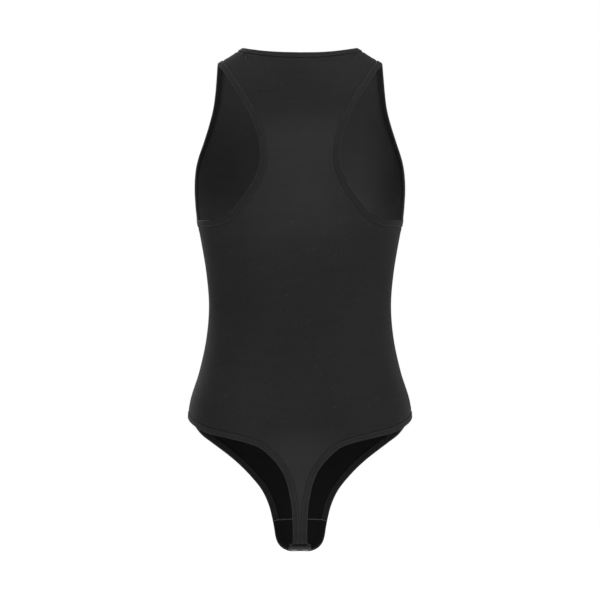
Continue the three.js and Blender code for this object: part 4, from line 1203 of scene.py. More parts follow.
def mottle_nodes(g: Graph, given: bpy.types.Node) -> dict:
    """Slow blotches and finer streaks across the cloth, as a value round 0.5."""
    vector = given.outputs["Vector"]
    slow = g.noise(vector, 9.0, 3.0)
    stretch = g.add("ShaderNodeMapping", {"Vector": vector, "Scale": (0.35, 0.35, 2.4)})
    streak = g.noise(stretch.outputs[0], 60.0, 2.0)
    fine = g.noise(vector, 420.0, 1.0)
    both = g.math("MULTIPLY_ADD", streak, given.outputs["Streaks"], g.math("MULTIPLY", slow, 0.6))
    value = g.math("MULTIPLY_ADD", fine, 0.22, both)
    return {"Value": g.ramp(value, 0.35, 0.85), "Fine": fine}


def lint_nodes(g: Graph, given: bpy.types.Node) -> dict:
    """Sparse specks of lint: the peaks of a fine noise, thinned by a slower one."""
    vector = given.outputs["Vector"]
    specks = g.ramp(g.noise(vector, 1500.0, 0.0), 0.74, 0.8)
    thinned = g.ramp(g.noise(vector, 170.0, 1.0), 0.56, 0.66)
    return {"Mask": g.math("MULTIPLY", specks, thinned)}


def ply_nodes(g: Graph, given: bpy.types.Node) -> dict:
    """The twist of a yarn or the ribs of a tape: stripes at a slant to the piece."""
    parts = g.add("ShaderNodeSeparateXYZ", {0: given.outputs["Vector"]}).outputs
    across = g.math("MULTIPLY", parts[0], given.outputs["Across"])
    turned = g.math("MULTIPLY_ADD", parts[1], given.outputs["Along"], across)
    wave = g.math("SINE", g.math("MULTIPLY", turned, 2 * math.pi))
    return {"Height": g.math("ABSOLUTE", wave)}


def rubbed_nodes(g: Graph, given: bpy.types.Node) -> dict:
    """Where an edge is rubbed: the piece's own edge value, broken up by noise."""
    broken = g.noise(given.outputs["Vector"], 240.0, 3.0)
    reach = g.math("MULTIPLY_ADD", given.outputs["Edge"], 0.75, g.math("MULTIPLY", broken, 0.5))
    return {"Mask": g.ramp(reach, 0.62, 0.92, 0.0, 1.0)}


KNIT = group(
    "knit",
    [("Vector", "Vector"), ("Wales", "Float"), ("Courses", "Float"), ("Slant", "Float")],
    [("Height", "Float"), ("Gaps", "Float")],
    knit_nodes,
)
MOTTLE = group(
    "mottle",
    [("Vector", "Vector"), ("Streaks", "Float")],
    [("Value", "Float"), ("Fine", "Float")],
    mottle_nodes,
)
LINT = group("lint", [("Vector", "Vector")], [("Mask", "Float")], lint_nodes)
PLY = group(
    "ply",
    [("Vector", "Vector"), ("Across", "Float"), ("Along", "Float")],
    [("Height", "Float")],
    ply_nodes,
)
RUBBED = group(
    "rubbed",
    [("Vector", "Vector"), ("Edge", "Float")],
    [("Mask", "Float")],
    rubbed_nodes,
)

Colour = tuple[float, float, float]


def rgba(colour: Colour, scale: float = 1.0) -> tuple[float, float, float, float]:
    """A colour for a socket, scaled."""
    return (colour[0] * scale, colour[1] * scale, colour[2] * scale, 1.0)


def new_material(name: str) -> tuple[bpy.types.Material, Graph, bpy.types.Node]:
    """A new material, what adds nodes to it, and its shader."""
    made = bpy.data.materials.new(name)
    made.use_nodes = True
    return made, Graph(made.node_tree), made.node_tree.nodes["Principled BSDF"]


@dataclass(frozen=True)
class Knit:
    """A knitted finish: its dye, its gloss and its loops per metre.

    Where the tag is -1 the cloth carries painted light: its colour is back times its dye, a lighter
    copy that stands in for light falling on it.
    """

    name: str
    colour: Colour
    roughness: float = 0.8
    sheen: float = 0.08
    specular: float = 0.2
    wales: float = 950.0
    courses: float = 1150.0
    slant: float = 0.5
    depth: float = 0.35
    uneven: float = 0.22
    lint: float = 0.5
    rubbed: float = 0.5
    # Painted light: how many times lighter than its dye the cloth is where the tag is -1.
    back: float = 4.6

    def material(self) -> bpy.types.Material:
        """Makes the material: mottled dye, painted light where the tag is negative, painted shade in
        the gaps between loops, lint, rubbed edges and loops in relief.
        """
        made, g, shader = new_material(self.name)
        coordinates = g.add("ShaderNodeTexCoord").outputs
        tag = g.add("ShaderNodeAttribute", attribute_name="tag").outputs["Fac"]
        loops = g.add("ShaderNodeGroup", node_tree=KNIT)
        for key, value in (
            ("Vector", coordinates["UV"]),
            ("Wales", self.wales),
            ("Courses", self.courses),
            ("Slant", self.slant),
        ):
            g.put(loops.inputs[key], value)
        mottle = g.add("ShaderNodeGroup", node_tree=MOTTLE)
        g.put(mottle.inputs["Vector"], coordinates["Object"])
        g.put(mottle.inputs["Streaks"], 0.25)
        lint = g.add("ShaderNodeGroup", node_tree=LINT)
        g.put(lint.inputs["Vector"], coordinates["Object"])
        rubbed = g.add("ShaderNodeGroup", node_tree=RUBBED)
        g.put(rubbed.inputs["Vector"], coordinates["Object"])
        g.put(rubbed.inputs["Edge"], tag)
        dark, light = rgba(self.colour, 1 - self.uneven), rgba(self.colour, 1 + self.uneven)
        dye_and_painted_light = g.blend(mottle.outputs["Value"], dark, light)
        uneven = g.math("MULTIPLY_ADD", mottle.outputs["Value"], 0.3, 0.7)
        # Painted light: where the tag is negative the colour is drawn towards back times the dye,
        # broken up by the mottle.
        painted_light_share = g.math("MULTIPLY", g.ramp(tag, 0.0, -1.0), uneven)
        dye_and_painted_light = g.blend(painted_light_share, dye_and_painted_light, rgba(self.colour, self.back))
        # Painted shade: the gaps between the loops are darkened towards 0.45 times the dye.
        gap_painted_shade = g.math("MULTIPLY", loops.outputs["Gaps"], 0.35)
        dye_and_painted_light = g.blend(gap_painted_shade, dye_and_painted_light, rgba(self.colour, 0.45))
        worn = g.math("MULTIPLY", rubbed.outputs["Mask"], self.rubbed)
        dye_and_painted_light = g.blend(worn, dye_and_painted_light, rgba(self.colour, 1.9))
        specks = g.math("MULTIPLY", lint.outputs["Mask"], self.lint)
        dye_and_painted_light = g.blend(specks, dye_and_painted_light, (0.11, 0.108, 0.105, 1.0))
        g.put(shader.inputs["Base Color"], dye_and_painted_light)
        gloss = g.math("MULTIPLY_ADD", loops.outputs["Height"], -0.08, self.roughness + 0.04)
        g.put(shader.inputs["Roughness"], g.math("MULTIPLY_ADD", worn, -0.12, gloss))
        shader.inputs["Sheen Weight"].default_value = self.sheen
        shader.inputs["Sheen Roughness"].default_value = 0.45
        shader.inputs["Specular IOR Level"].default_value = self.specular
        height = g.math("MULTIPLY_ADD", mottle.outputs["Fine"], 0.5, loops.outputs["Height"])
        bump = g.add("ShaderNodeBump", {"Height": height, "Strength": self.depth, "Distance": 0.0002})
        g.put(shader.inputs["Normal"], bump.outputs[0])
        return made


@dataclass(frozen=True)
class Twisted:
    """A finish of ribs or twisted yarn: thread, tape and satin."""

    name: str
    colour: Colour
    roughness: float = 0.6
    sheen: float = 0.1
    specular: float = 0.35
    across: float = 1200.0
    along: float = 900.0
    depth: float = 0.5

    def material(self) -> bpy.types.Material:
        """Makes the material: slanted ribs in relief over a mottled dye, with painted shade darkening
        the grooves between the ribs.
        """
        made, g, shader = new_material(self.name)
        coordinates = g.add("ShaderNodeTexCoord").outputs
        ribs = g.add("ShaderNodeGroup", node_tree=PLY)
        for key, value in (
            ("Vector", coordinates["UV"]),
            ("Across", self.across),
            ("Along", self.along),
        ):
            g.put(ribs.inputs[key], value)
        mottle = g.add("ShaderNodeGroup", node_tree=MOTTLE)
        g.put(mottle.inputs["Vector"], coordinates["Object"])
        g.put(mottle.inputs["Streaks"], 0.3)
        height = ribs.outputs["Height"]
        dye_and_painted_light = g.blend(mottle.outputs["Value"], rgba(self.colour, 0.8), rgba(self.colour, 1.2))
        # Painted shade: the colour darkens towards 0.4 times the dye in the grooves between the ribs.
        dye_and_painted_light = g.blend(g.ramp(height, 0.0, 0.5, 0.5, 0.0), dye_and_painted_light, rgba(self.colour, 0.4))
        g.put(shader.inputs["Base Color"], dye_and_painted_light)
        gloss = g.math("MULTIPLY_ADD", height, -0.12, self.roughness + 0.06)
        g.put(shader.inputs["Roughness"], gloss)
        shader.inputs["Sheen Weight"].default_value = self.sheen
        shader.inputs["Specular IOR Level"].default_value = self.specular
        relief = {"Height": height, "Strength": self.depth, "Distance": 0.0002}
        bump = g.add("ShaderNodeBump", relief)
        g.put(shader.inputs["Normal"], bump.outputs[0])
        return made


@dataclass(frozen=True)
class Lacquer:
    """Lacquered metal that is rubbed bright at its edges."""

    name: str
    colour: Colour
    metal: Colour

    def material(self) -> bpy.types.Material:
        """Makes the material: satin lacquer, bare metal at the worn edges and fine scratches."""
        made, g, shader = new_material(self.name)
        vector = g.add("ShaderNodeTexCoord").outputs["Object"]
        tag = g.add("ShaderNodeAttribute", attribute_name="tag").outputs["Fac"]
        rubbed = g.add("ShaderNodeGroup", node_tree=RUBBED)
        g.put(rubbed.inputs["Vector"], vector)
        g.put(rubbed.inputs["Edge"], tag)
        grain = g.noise(vector, 900.0, 3.0)
        drawn_out = {"Vector": vector, "Rotation": (0, 0, 0.6), "Scale": (1.0, 14.0, 1.0)}
        scratch = g.add("ShaderNodeMapping", drawn_out)
        lines = g.noise(scratch.outputs[0], 260.0, 2.0)
        base = g.blend(grain, rgba(self.colour, 0.75), rgba(self.colour, 1.3))
        g.put(shader.inputs["Base Color"], g.blend(rubbed.outputs["Mask"], base, rgba(self.metal)))
        g.put(shader.inputs["Metallic"], g.ramp(rubbed.outputs["Mask"], 0, 1, 0.55, 1.0))
        g.put(shader.inputs["Roughness"], g.ramp(lines, 0.3, 0.7, 0.26, 0.46))
        bump = g.add("ShaderNodeBump", {"Height": lines, "Strength": 0.12, "Distance": 0.0001})
        g.put(shader.inputs["Normal"], bump.outputs[0])
        return made


FINISHES = {
    Slot.JERSEY: Knit("jersey", (0.0125, 0.0125, 0.0129), sheen=0.02, specular=0.1),
    Slot.BINDING: Knit(
        "binding",
        (0.012, 0.012, 0.0124),
        roughness=0.78,
        sheen=0.02,
        specular=0.12,
        wales=1250.0,
        courses=900.0,
        depth=0.4,
    ),
    # The lining finish also dresses the dark sheet inside the lower front, which is painted shade.
    Slot.LINING: Knit("lining", (0.006, 0.006, 0.0063), 0.9, sheen=0.0, specular=0.08, lint=0.1),
    Slot.ELASTIC: Twisted("elastic", (0.016, 0.016, 0.0165), 0.7, across=1400.0, along=0.0),
    Slot.THREAD: Twisted("thread", (0.009, 0.009, 0.0093), 0.6, across=900.0, along=1300.0),
    Slot.LABEL: Twisted(
        "label",
        (0.66, 0.65, 0.62),
        roughness=0.42,
        specular=0.5,
        across=0.0,
        along=2600.0,
        depth=0.15,
    ),
    Slot.SNAP: Lacquer("snap", (0.018, 0.018, 0.019), (0.42, 0.42, 0.43)),
}
MATERIALS = {slot: finish.material() for slot, finish in FINISHES.items()}
# The lining's hem gets a copy of the thread finish almost four times lighter: painted light.
PAINTED_LIGHT_HEM_THREAD = Twisted("hem_thread_painted_light", (0.034, 0.034, 0.035), 0.6, across=900.0, along=1300.0).material()


def dress(
    piece: bpy.types.Object, slot: Slot, body: str = "bodice", nodes: Sequence[str] = ()
) -> bpy.types.Object:
    """Finishes a piece and says what it rides on and what it stands for.

    Args:
        piece: The object.
        slot: Its material slot.
        body: The body that carries it, or "" to leave it unattached.
        nodes: The solids that it stands for.

    Returns:
        The same object.
    """
    piece.data.materials.append(MATERIALS[slot])
    if body:
        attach(piece, body)
    if nodes:
        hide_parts(*nodes)
    LOG.info("%s: %d faces", piece.name, len(piece.data.polygons))
    return piece


# ---- Panels ----

UNDERARM_SAG = 0.72
# The sign that marks a tag as painted light.
PAINTED_LIGHT_SIGN = -1.0
MEAN_RADIUS = 118.0


def half_grid(half: Half, top: Array, outer: Array, bottom: float, underarm: int) -> Array:
    """The places of one side of a panel, from the middle out to its edge and from the top down.

    Each row runs straight from the middle to the outer line in angle and turn. The shape of the
    top bends the first rows, less and less down to the underarm, and the level bottom bends the
    last, by v^4.

    Args:
        half: The half that it lies on.
        top: Places along the top, from the middle out.
        outer: Places down the outer line.
        bottom: The length along the cloth of the lowest row.
        underarm: The row that meets the underarm, whose middle lies lower by UNDERARM_SAG.

    Returns:
        Rows of places.
    """
    even = np.linspace(0, 1, len(top))[None]
    v = np.linspace(0, 1, len(outer))[:, None]
    fade = np.clip(1 - v / (0.8 * v[underarm]), 0, 1) ** 2
    share = even + fade * (top[:, 0] / top[-1, 0] - even)
    angle = outer[:, :1] * share
    low = half.turn_of(np.float64(0), np.float64(bottom))
    sagged = outer[underarm, 1] + UNDERARM_SAG
    middle = Curve([[0, top[0, 1]], [v[underarm, 0], sagged], [1, float(low)]])(v)
    turn = mix(middle, outer[:, 1:], share)
    turn += fade * (top[:, 1] - mix(top[0, 1], outer[0, 1], share[:1]))
    level = half.turn_of(angle[-1], np.full(len(top), bottom))
    turn += v**4 * (level - turn[-1])
    return np.stack([angle, turn], -1)


def both_sides(places: Array) -> Array:
    """Rows of places that run on across the middle to the wearer's right."""
    return np.concatenate([places[:, :0:-1] * np.array([-1.0, 1.0]), places], 1)


def cloth_map(half: Half, places: Array) -> tuple[Array, Array]:
    """Each place's distance across the cloth, as angle times a mean radius, and its length down."""
    return places[..., 0] * MEAN_RADIUS, half.along_of(places[..., 0], places[..., 1])


def both_edges(half: Half, edge: Array) -> list[Array]:
    """An edge's points on the wearer's left and right."""
    return [half.surface(edge * np.array([side, 1.0])) for _, side in SIDES]


@dataclass(frozen=True)
class Panel:
    """A panel of stretch jersey with its pulls, its seams' dips and the fullness by its bindings."""

    name: str
    node: str
    half: Half
    hems: tuple[Hem, Hem, Hem]
    bottom: float
    flat: Pair
    area: float
    leg_pucker: float
    # Painted light: how much the outer face is lightened at the shoulder blades and at the seat, and
    # the share of the inner face's lightening left at the top.
    blades_painted_light: float = 0.21
    seat_painted_light: float = 0.18
    inner_top_painted_light: float = 0.62
    cup_rise: float = 0.0
    cup_at: Pair = (70.0, 160.0)
    cup_radius: float = 50.0
    shoulder_steps: int = 10
    side_steps: int = 105

    def lines(self) -> tuple[Array, Array]:
        """The places along the top and down the outer line, on the wearer's left."""
        neck, armhole, leg = (h.edge for h in self.hems)
        half = self.half
        x = np.linspace(NECK_X + S.wrap, TIP_X - S.wrap, self.shoulder_steps + 1)[1:]
        ridge = np.array([on_ridge(half, float(at)) for at in x])
        curve = neck[::2][:-1]
        curve = curve[(curve[:, 0] < neck[-1, 0] - 2e-3) & (curve[:, 1] > 1e-3)]
        top = np.concatenate([curve, neck[-1:], ridge])
        turn = np.linspace(armhole[-1, 1], leg[0, 1], self.side_steps + 1)[1:-1]
        side = np.column_stack([np.full(len(turn), SIDE), turn])
        along = half.along_of(leg[:, 0], leg[:, 1])
        kept = leg[along > self.bottom + 0.8]
        last = half.on((float(np.interp(-self.bottom, -along, leg[:, 0])), self.bottom))
        return top, np.concatenate([armhole, side, kept, last[None]])

    def fullness(self, points: Array, side_run: Array) -> Array:
        """How far the cloth stands out by its bindings and dips at its seams.

        Args:
            points: The panel's points.
            side_run: Each point's length along the cloth.

        Returns:
            Millimetres.
        """
        total = np.zeros(points.shape[:-1])
        for k, one in enumerate(self.hems):
            for n, line in enumerate(both_edges(self.half, one.edge)):
                far, run = nearest(points, line)
                ripple = pucker(run, 1.3 * k + 2.1 * n)
                total += HEM_RIDGE(far) + HEM_GROOVE(far)
                total += ripple * HEM_PUCKER(far)
                if k == 2:
                    strong = ease(-240, -215, points[..., 2]) * ease(-150, -185, points[..., 2])
                    wide = pucker(run / 1.9, 0.7 + n) * LEG_PUCKER(far)
                    total += self.leg_pucker * strong * wide
        away = np.abs(points[..., 1])
        seamed = ease(-200, -190, points[..., 2])
        total += seamed * (SEAM_RIDGE(away) + CENTRE_GROOVE(away))
        low = side_run - self.bottom
        return total + (SEAM_RIDGE(low) + SEAM_GROOVE(low)) * (self.half is FRONT)

    def cups(self, points: Array) -> Array:
        """The soft cups on the inner face: domes with a stitched dip round them."""
        total = np.zeros(points.shape[:-1])
        for _, side in SIDES:
            x, z = points[..., 0] - side * self.cup_at[0], points[..., 2] - self.cup_at[1]
            far = np.hypot(x, z) / self.cup_radius
            dome = self.cup_rise * ease(0, 0.55, 1 - far)
            total += dome + CUP_GROOVE((far - 1) * self.cup_radius)
        return total * (self.cup_rise > 0)

    def outer_painted_light(self, points: Array) -> Array:
        """How much painted light lightens the outer face: most at the shoulder blades and the seat."""
        x, z = points[..., 0], points[..., 2]
        upper = ease(50, 140, z) * ease(275, 225, z) * bell(x, 95)
        lower = ease(S.hip, -200, z) * bell(x, 55)
        return self.blades_painted_light * upper + self.seat_painted_light * lower

    def build(self) -> bpy.types.Object:
        """Makes and dresses the panel.

        Returns:
            The object.
        """
        top, outer = self.lines()
        underarm = len(self.hems[1].edge) - 1
        places = both_sides(half_grid(self.half, top, outer, self.bottom, underarm))
        points, normal = self.half.surface(places), self.half.normal(places)
        across, along = cloth_map(self.half, places)
        out = self.fullness(points, along)
        shell = Shell()
        sheet_of(
            shell,
            points + normal * (S.cloth / 2 + out)[..., None],
            points + normal * (out - S.cloth / 2 - self.cups(points))[..., None],
            across,
            along,
            # Painted light: the outer face is lightened at the shoulder blades and the seat, and the
            # inner face all over, less towards the top.
            outer_tag=PAINTED_LIGHT_SIGN * self.outer_painted_light(points),
            inner_tag=PAINTED_LIGHT_SIGN * mix(self.inner_top_painted_light, 1.0, ease(250, 130, points[..., 2])),
        )
        piece = dress(shell.mesh(self.name), Slot.JERSEY, nodes=[self.node])
        return piece


# ---- The gusset, its lining and a dark sheet of painted shade ----


@dataclass(frozen=True)
class Gusset:
    """The gusset under the crotch, the dark lining over it, a dark sheet of painted shade inside the
    lower front, and the lining's hem in a lighter thread that is painted light.
    """

    flat: Pair = (0.084, 0.098)
    area: float = 0.0059
    lining_flat: Pair = (0.072, 0.078)
    lining_area: float = 0.0042
    front_flat: Pair = (0.32, 0.26)
    front_area: float = 0.054
    hem_drop: float = 20.0
    front_top: float = -70.0
    tuck: float = 6.9
    columns: int = 24
    lining_lift: float = 0.98
    lining_thick: float = 0.35
    front_lift: float = 0.62
    front_thick: float = 0.3
    over_bindings: float = 1.5
    hem_half: Pair = (0.85, 0.42)
    hem_bow: float = 3.4
    shy: float = 0.985

    def strip(self, half: Half, outer: Array, top: float, bottom: float) -> Array:
        """Places between two levels, out to a line on both sides."""
        along = half.along_of(outer[:, 0], outer[:, 1])
        inside = (along < top - 0.3) & (along > bottom + 0.3)
        levels = np.concatenate([[top], along[inside], [bottom]])
        edge = np.interp(-levels, -along, outer[:, 0])
        share = np.linspace(0, 1, self.columns + 1)
        angle = edge[:, None] * share
        level = np.broadcast_to(levels[:, None], angle.shape)
        return both_sides(np.stack([angle, half.turn_of(angle, level)], -1))

    def build(self) -> list[bpy.types.Object]:
        """Makes and dresses the four pieces."""
        return [self.cloth(), self.lining(), self.hem_line(), self.front_painted_shade_sheet()]

    def cloth(self) -> bpy.types.Object:
        """The outer gusset."""
        leg = LEG_HEMS[0].edge
        places = self.strip(FRONT, leg, GUSSET_SEAM, GUSSET_END)
        points, normal = FRONT.surface(places), FRONT.normal(places)
        across, along = cloth_map(FRONT, places)
        low = GUSSET_SEAM - along
        out = SEAM_RIDGE(low) + SEAM_GROOVE(low)
        shell = Shell()
        sheet_of(
            shell,
            points + normal * (S.cloth / 2 + out)[..., None],
            points + normal * (out - S.cloth / 2)[..., None],
            across,
            along,
        )
        piece = dress(shell.mesh("gusset_cloth"), Slot.JERSEY, nodes=["front_gusset"])
        return piece

    def covered(self, points: Array, lift: float) -> Array:
        """How far in a lining lies: flat on the cloth, and up over the leg bindings' inner sides."""
        far = np.minimum(*(nearest(points, e)[0] for e in both_edges(FRONT, LEG_HEMS[0].edge)))
        return lift + self.over_bindings * ease(S.held + 2.2, S.held + 0.4, far)

    def sheet(
        self, name: str, places: Array, lift: float, thick: float, over: bool
    ) -> bpy.types.Object:
        """Makes and dresses a thin layer inside the cloth.

        Args:
            name: Its name.
            places: Where it lies.
            lift: How far in from the cloth's middle its outer face is.
            thick: Its thickness.
            over: Whether it lies over the leg bindings.

        Returns:
            The object.
        """
        points, normal = FRONT.surface(places), FRONT.normal(places)
        across, along = cloth_map(FRONT, places)
        inward = self.covered(points, lift) if over else np.full(points.shape[:-1], lift)
        outer = points - normal * inward[..., None]
        inner = points - normal * (inward + thick)[..., None]
        shell = Shell()
        sheet_of(shell, outer, inner, across, along)
        return dress(shell.mesh(name), Slot.LINING)

    def lining(self) -> bpy.types.Object:
        """The gusset's lining, from its hem down to the tab, out over the leg bindings."""
        leg = LEG_HEMS[0].edge.copy()
        leg[:, 0] *= self.shy
        places = self.strip(FRONT, leg, GUSSET_SEAM - self.hem_drop, GUSSET_END)
        piece = self.sheet(
            "gusset_lining_cloth", places, self.lining_lift, self.lining_thick, True
        )
        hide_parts("gusset_lining")
        return piece

    def hem_line(self) -> bpy.types.Object:
        """The turned hem along the lining's top edge, as a rolled strip."""
        leg = LEG_HEMS[0].edge
        along = FRONT.along_of(leg[:, 0], leg[:, 1])
        level = GUSSET_SEAM - self.hem_drop
        edge = float(np.interp(-level, -along, leg[:, 0])) * 0.97
        angle = np.linspace(-edge, edge, 81)
        bowed = level - self.hem_bow * (angle / edge) ** 4
        places = np.column_stack([angle, FRONT.turn_of(angle, bowed)])
        points, normal = FRONT.surface(places), FRONT.normal(places)
        inward = self.covered(points, self.over_bindings)
        centre = points - normal * inward[:, None]
        down = np.cross(normal, unit(np.gradient(points, axis=0)))
        turns = np.linspace(0, 2 * math.pi, 12, endpoint=False)
        tall, thick = self.hem_half
        ring = centre[:, None] + down[:, None] * (tall * np.cos(turns))[None, :, None]
        ring = ring + normal[:, None] * (thick * np.sin(turns))[None, :, None]
        run = run_of(centre)
        across, length = np.meshgrid(np.linspace(0, 4, 13), run)
        shell = Shell()
        shell.tube(ring, across, length)
        piece = dress(shell.mesh("lining_hem"), Slot.THREAD, nodes=["gusset_seam"])
        # Painted light: the hem is dressed in the lighter copy of the thread.
        piece.data.materials[0] = PAINTED_LIGHT_HEM_THREAD
        return piece

    def front_painted_shade_sheet(self) -> bpy.types.Object:
        """A dark sheet inside the lower front, between the side seams and the leg bindings: painted
        shade, standing in for the shade inside there.
        """
        leg = LEG_HEMS[0].edge
        top, bottom = self.front_top, GUSSET_SEAM - self.hem_drop + 0.6
        limit = SIDE * self.shy
        side = np.array([FRONT.on((limit, z)) for z in np.linspace(top, S.hip + 4, 30)])
        inner = FRONT.inset(leg, self.tuck, leg[0], leg[-1])[4:-2]
        inner[:, 0] = np.minimum(inner[:, 0], limit)
        outer = np.concatenate([side, inner])
        along = FRONT.along_of(outer[:, 0], outer[:, 1])
        falls = np.concatenate([[True], along[1:] < np.minimum.accumulate(along)[:-1] - 1e-3])
        places = self.strip(FRONT, outer[falls], top, bottom)
        piece = self.sheet("front_painted_shade_sheet_cloth", places, self.front_lift, self.front_thick, False)
        return piece


# ---- What finishes the edges ----


@dataclass(frozen=True)
class Binding:
    """A folded binding with the elastic inside it and its two rows of stitches."""

    name: str
    node: str
    elastic_node: str
    path: Path
    flat: Pair
    stitch_out: float = -6.3
    elastic_out: Pair = (-6.5, -0.5)
    elastic_up: Pair = (-1.32, -0.78)

    def build(self) -> list[bpy.types.Object]:
        """Makes and dresses the tape, the elastic and the threads."""
        outer, inner = binding_section()
        out = np.concatenate([outer[:, 0], inner[::-1, 0]])
        up = np.concatenate([outer[:, 1], inner[::-1, 1]])
        ripple = 0.05 * pucker(self.path.run * 0.8, len(self.name))[:, None]
        face = np.where(np.abs(up) > 0.9, 1.0, 0.0) * ripple
        edge = np.clip((out + 1.2) / 2.1, 0, 1)
        tape = swept(self.path, out, up + face, self.name, edge)
        dress(tape, Slot.BINDING, nodes=[self.node])
        return [tape, self.elastic()] + self.stitches()

    def elastic(self) -> bpy.types.Object:
        """The elastic between the cloth and the binding's inner side."""
        (low, high), (under, over) = self.elastic_out, self.elastic_up
        flat = np.linspace(low, high, 6)
        out = np.concatenate([flat, flat[::-1]])
        up = np.concatenate([np.full(6, over), np.full(6, under)])
        tape = swept(self.path, out, up, self.elastic_node + "_tape")
        return dress(tape, Slot.ELASTIC, nodes=[self.elastic_node])

    def stitches(self) -> list[bpy.types.Object]:
        """A straight row outside and a zigzag inside."""
        rows = (
            ("_stitch", Seam(self.stitch_out, 1.2)),
            ("_zigzag", Seam(self.stitch_out, -2.26, 1.9, 0.16, 0.12, 0.85)),
        )
        return [dress(thread(self.path, row, self.name + end), Slot.THREAD) for end, row in rows]


def seam_path(side: float, low: float, high: float, count: int) -> Path:
    """The stations down a side seam on the back panel, as an edge and a line 6 mm in from it."""
    turns = (BACK.on((SIDE, level))[1] for level in (high, low))
    edge = np.column_stack([np.full(count, SIDE), np.linspace(*turns, count)])
    across, _ = BACK.slopes(edge)
    line = BACK.moved(edge, -unit(across) * 6.0)
    turned = np.array([side, 1.0])
    edge, line = edge * turned, line * turned
    return Path(BACK.surface(edge), BACK.surface(line), BACK.normal(edge), BACK.normal(line), False)


@dataclass(frozen=True)
class Seams:
    """The side seams' overlocked allowances and the tapes under the shoulder seams."""

    high: float = S.underarm - S.binding_width - 0.6
    low: float = S.hip + S.binding_width + 0.6
    middle: Pair = (-2.6, -1.15)
    half_size: Pair = (3.6, 0.36)
    overlock: Seam = Seam(-3.5, -1.66, 1.8, 0.17, 0.1, 2.0)
    rings: int = 41
    sides: int = 20

    def build(self) -> list[bpy.types.Object]:
        """Makes and dresses all of them, on both sides."""
        made = []
        for name, side in SIDES:
            path = seam_path(side, self.low, self.high, 121)
            turn = np.linspace(0, 2 * math.pi, 20, endpoint=False)
            out = self.middle[0] + self.half_size[0] * squared(np.cos(turn), 0.35)
            up = self.middle[1] + self.half_size[1] * squared(np.sin(turn), 0.35)
            ripple = 0.06 * pucker(path.run, side)[:, None]
            seam = swept(path, out, up + ripple, f"side_seam_{name}_allowance")
            made.append(dress(seam, Slot.THREAD, nodes=[f"side_seam_{name}"]))
            row = thread(path, self.overlock, f"side_seam_{name}_overlock")
            made.append(dress(row, Slot.THREAD))
            made.append(self.tape(name))
        return made

    def tape(self, name: str) -> bpy.types.Object:
        """The rounded tape under a shoulder seam, on the place of its solid."""
        low, high = (np.array(c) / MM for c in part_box(f"shoulder_tape_{name}"))
        x = np.linspace(low[0] + 0.2, high[0] - 0.2, self.rings)
        middle = BACK.ridge(np.abs(x))
        turn = np.linspace(0, 2 * math.pi, self.sides, endpoint=False)
        y = (low[1] + high[1]) / 2 + (high[1] - low[1]) / 2 * squared(np.cos(turn), 0.3)
        lift = 0.3 * squared(np.sin(turn), 0.4)
        top = middle - (middle.max() - high[2]) - 0.3
        ring = np.stack(np.broadcast_arrays(x[:, None], y, top[:, None] + lift), -1)
        across, along = np.meshgrid(np.linspace(0, 15, self.sides + 1), x)
        shell = Shell()
        shell.tube(ring, across, along)
        piece = shell.mesh(f"shoulder_tape_{name}_soft")
        return dress(piece, Slot.ELASTIC, nodes=[f"shoulder_tape_{name}"])


@dataclass(frozen=True)
class Label:
    """The blank care label sewn inside the left of the front."""

    width: float = 26.0
    thick: float = 0.3
    inward: float = 1.5
    curl: float = 0.5
    radius: float = 125.0

    def build(self) -> bpy.types.Object:
        """Makes and dresses it, on the place of its solid, curling a little at its free edge."""
        low, high = (np.array(c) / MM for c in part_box("care_label"))
        z = np.linspace(high[2], low[2], 22)
        middle = FRONT.seen(float((low[0] + high[0]) / 2), float((low[2] + high[2]) / 2))[0]
        reach = self.width / 2 / self.radius
        angle = middle + np.linspace(-reach, reach, 15)
        level, turned = np.meshgrid(z, angle, indexing="ij")
        places = np.stack([turned, FRONT.turn_of(turned, level)], -1)
        points, normal = FRONT.surface(places), FRONT.normal(places)
        inward = self.inward + self.curl * ease(low[2] + 12, low[2], level)
        across, along = cloth_map(FRONT, places)
        shell = Shell()
        sheet_of(
            shell,
            points - normal * (inward - self.thick / 2)[..., None],
            points - normal * (inward + self.thick / 2)[..., None],
            across,
            along,
        )
        piece = dress(shell.mesh("care_label_satin"), Slot.LABEL, nodes=["care_label"])
        return piece


# ---- The closure ----


def closure(x: Array, u: Array, w: Array) -> Array:
    """Points of the closure from how far across, back and up they are from the front fold."""
    y = S.front_fold_y + u * TILT_COS - w * TILT_SIN
    z = S.crotch + u * TILT_SIN + w * TILT_COS
    return np.stack(np.broadcast_arrays(x, y, z), -1)


def tab_section(width: Array, thick: Array) -> tuple[Array, Array]:
    """The rounded section of a tab: its x and w, for each station and point round it."""
    flat = np.linspace(-1, 1, 31)
    turn = np.linspace(SIDE, -SIDE, 9)[1:-1]
    over = np.stack([flat, np.ones(31), np.zeros(31)])
    right = np.stack([np.ones(7), np.sin(turn), np.cos(turn)])
    under = np.stack([flat[::-1], -np.ones(31), np.zeros(31)])
    left = np.stack([-np.ones(7), -np.sin(turn), -np.cos(turn)])
    share, high, round_it = np.concatenate([over, right, under, left], 1)
    core = np.maximum(width - thick, 0.05)
    x = core[:, None] * share + thick[:, None] * round_it
    puff = 0.16 * bell((np.abs(share) - 0.45) * 2.0, 0.8) * (round_it == 0)
    return x, thick[:, None] * high * (1 + puff)


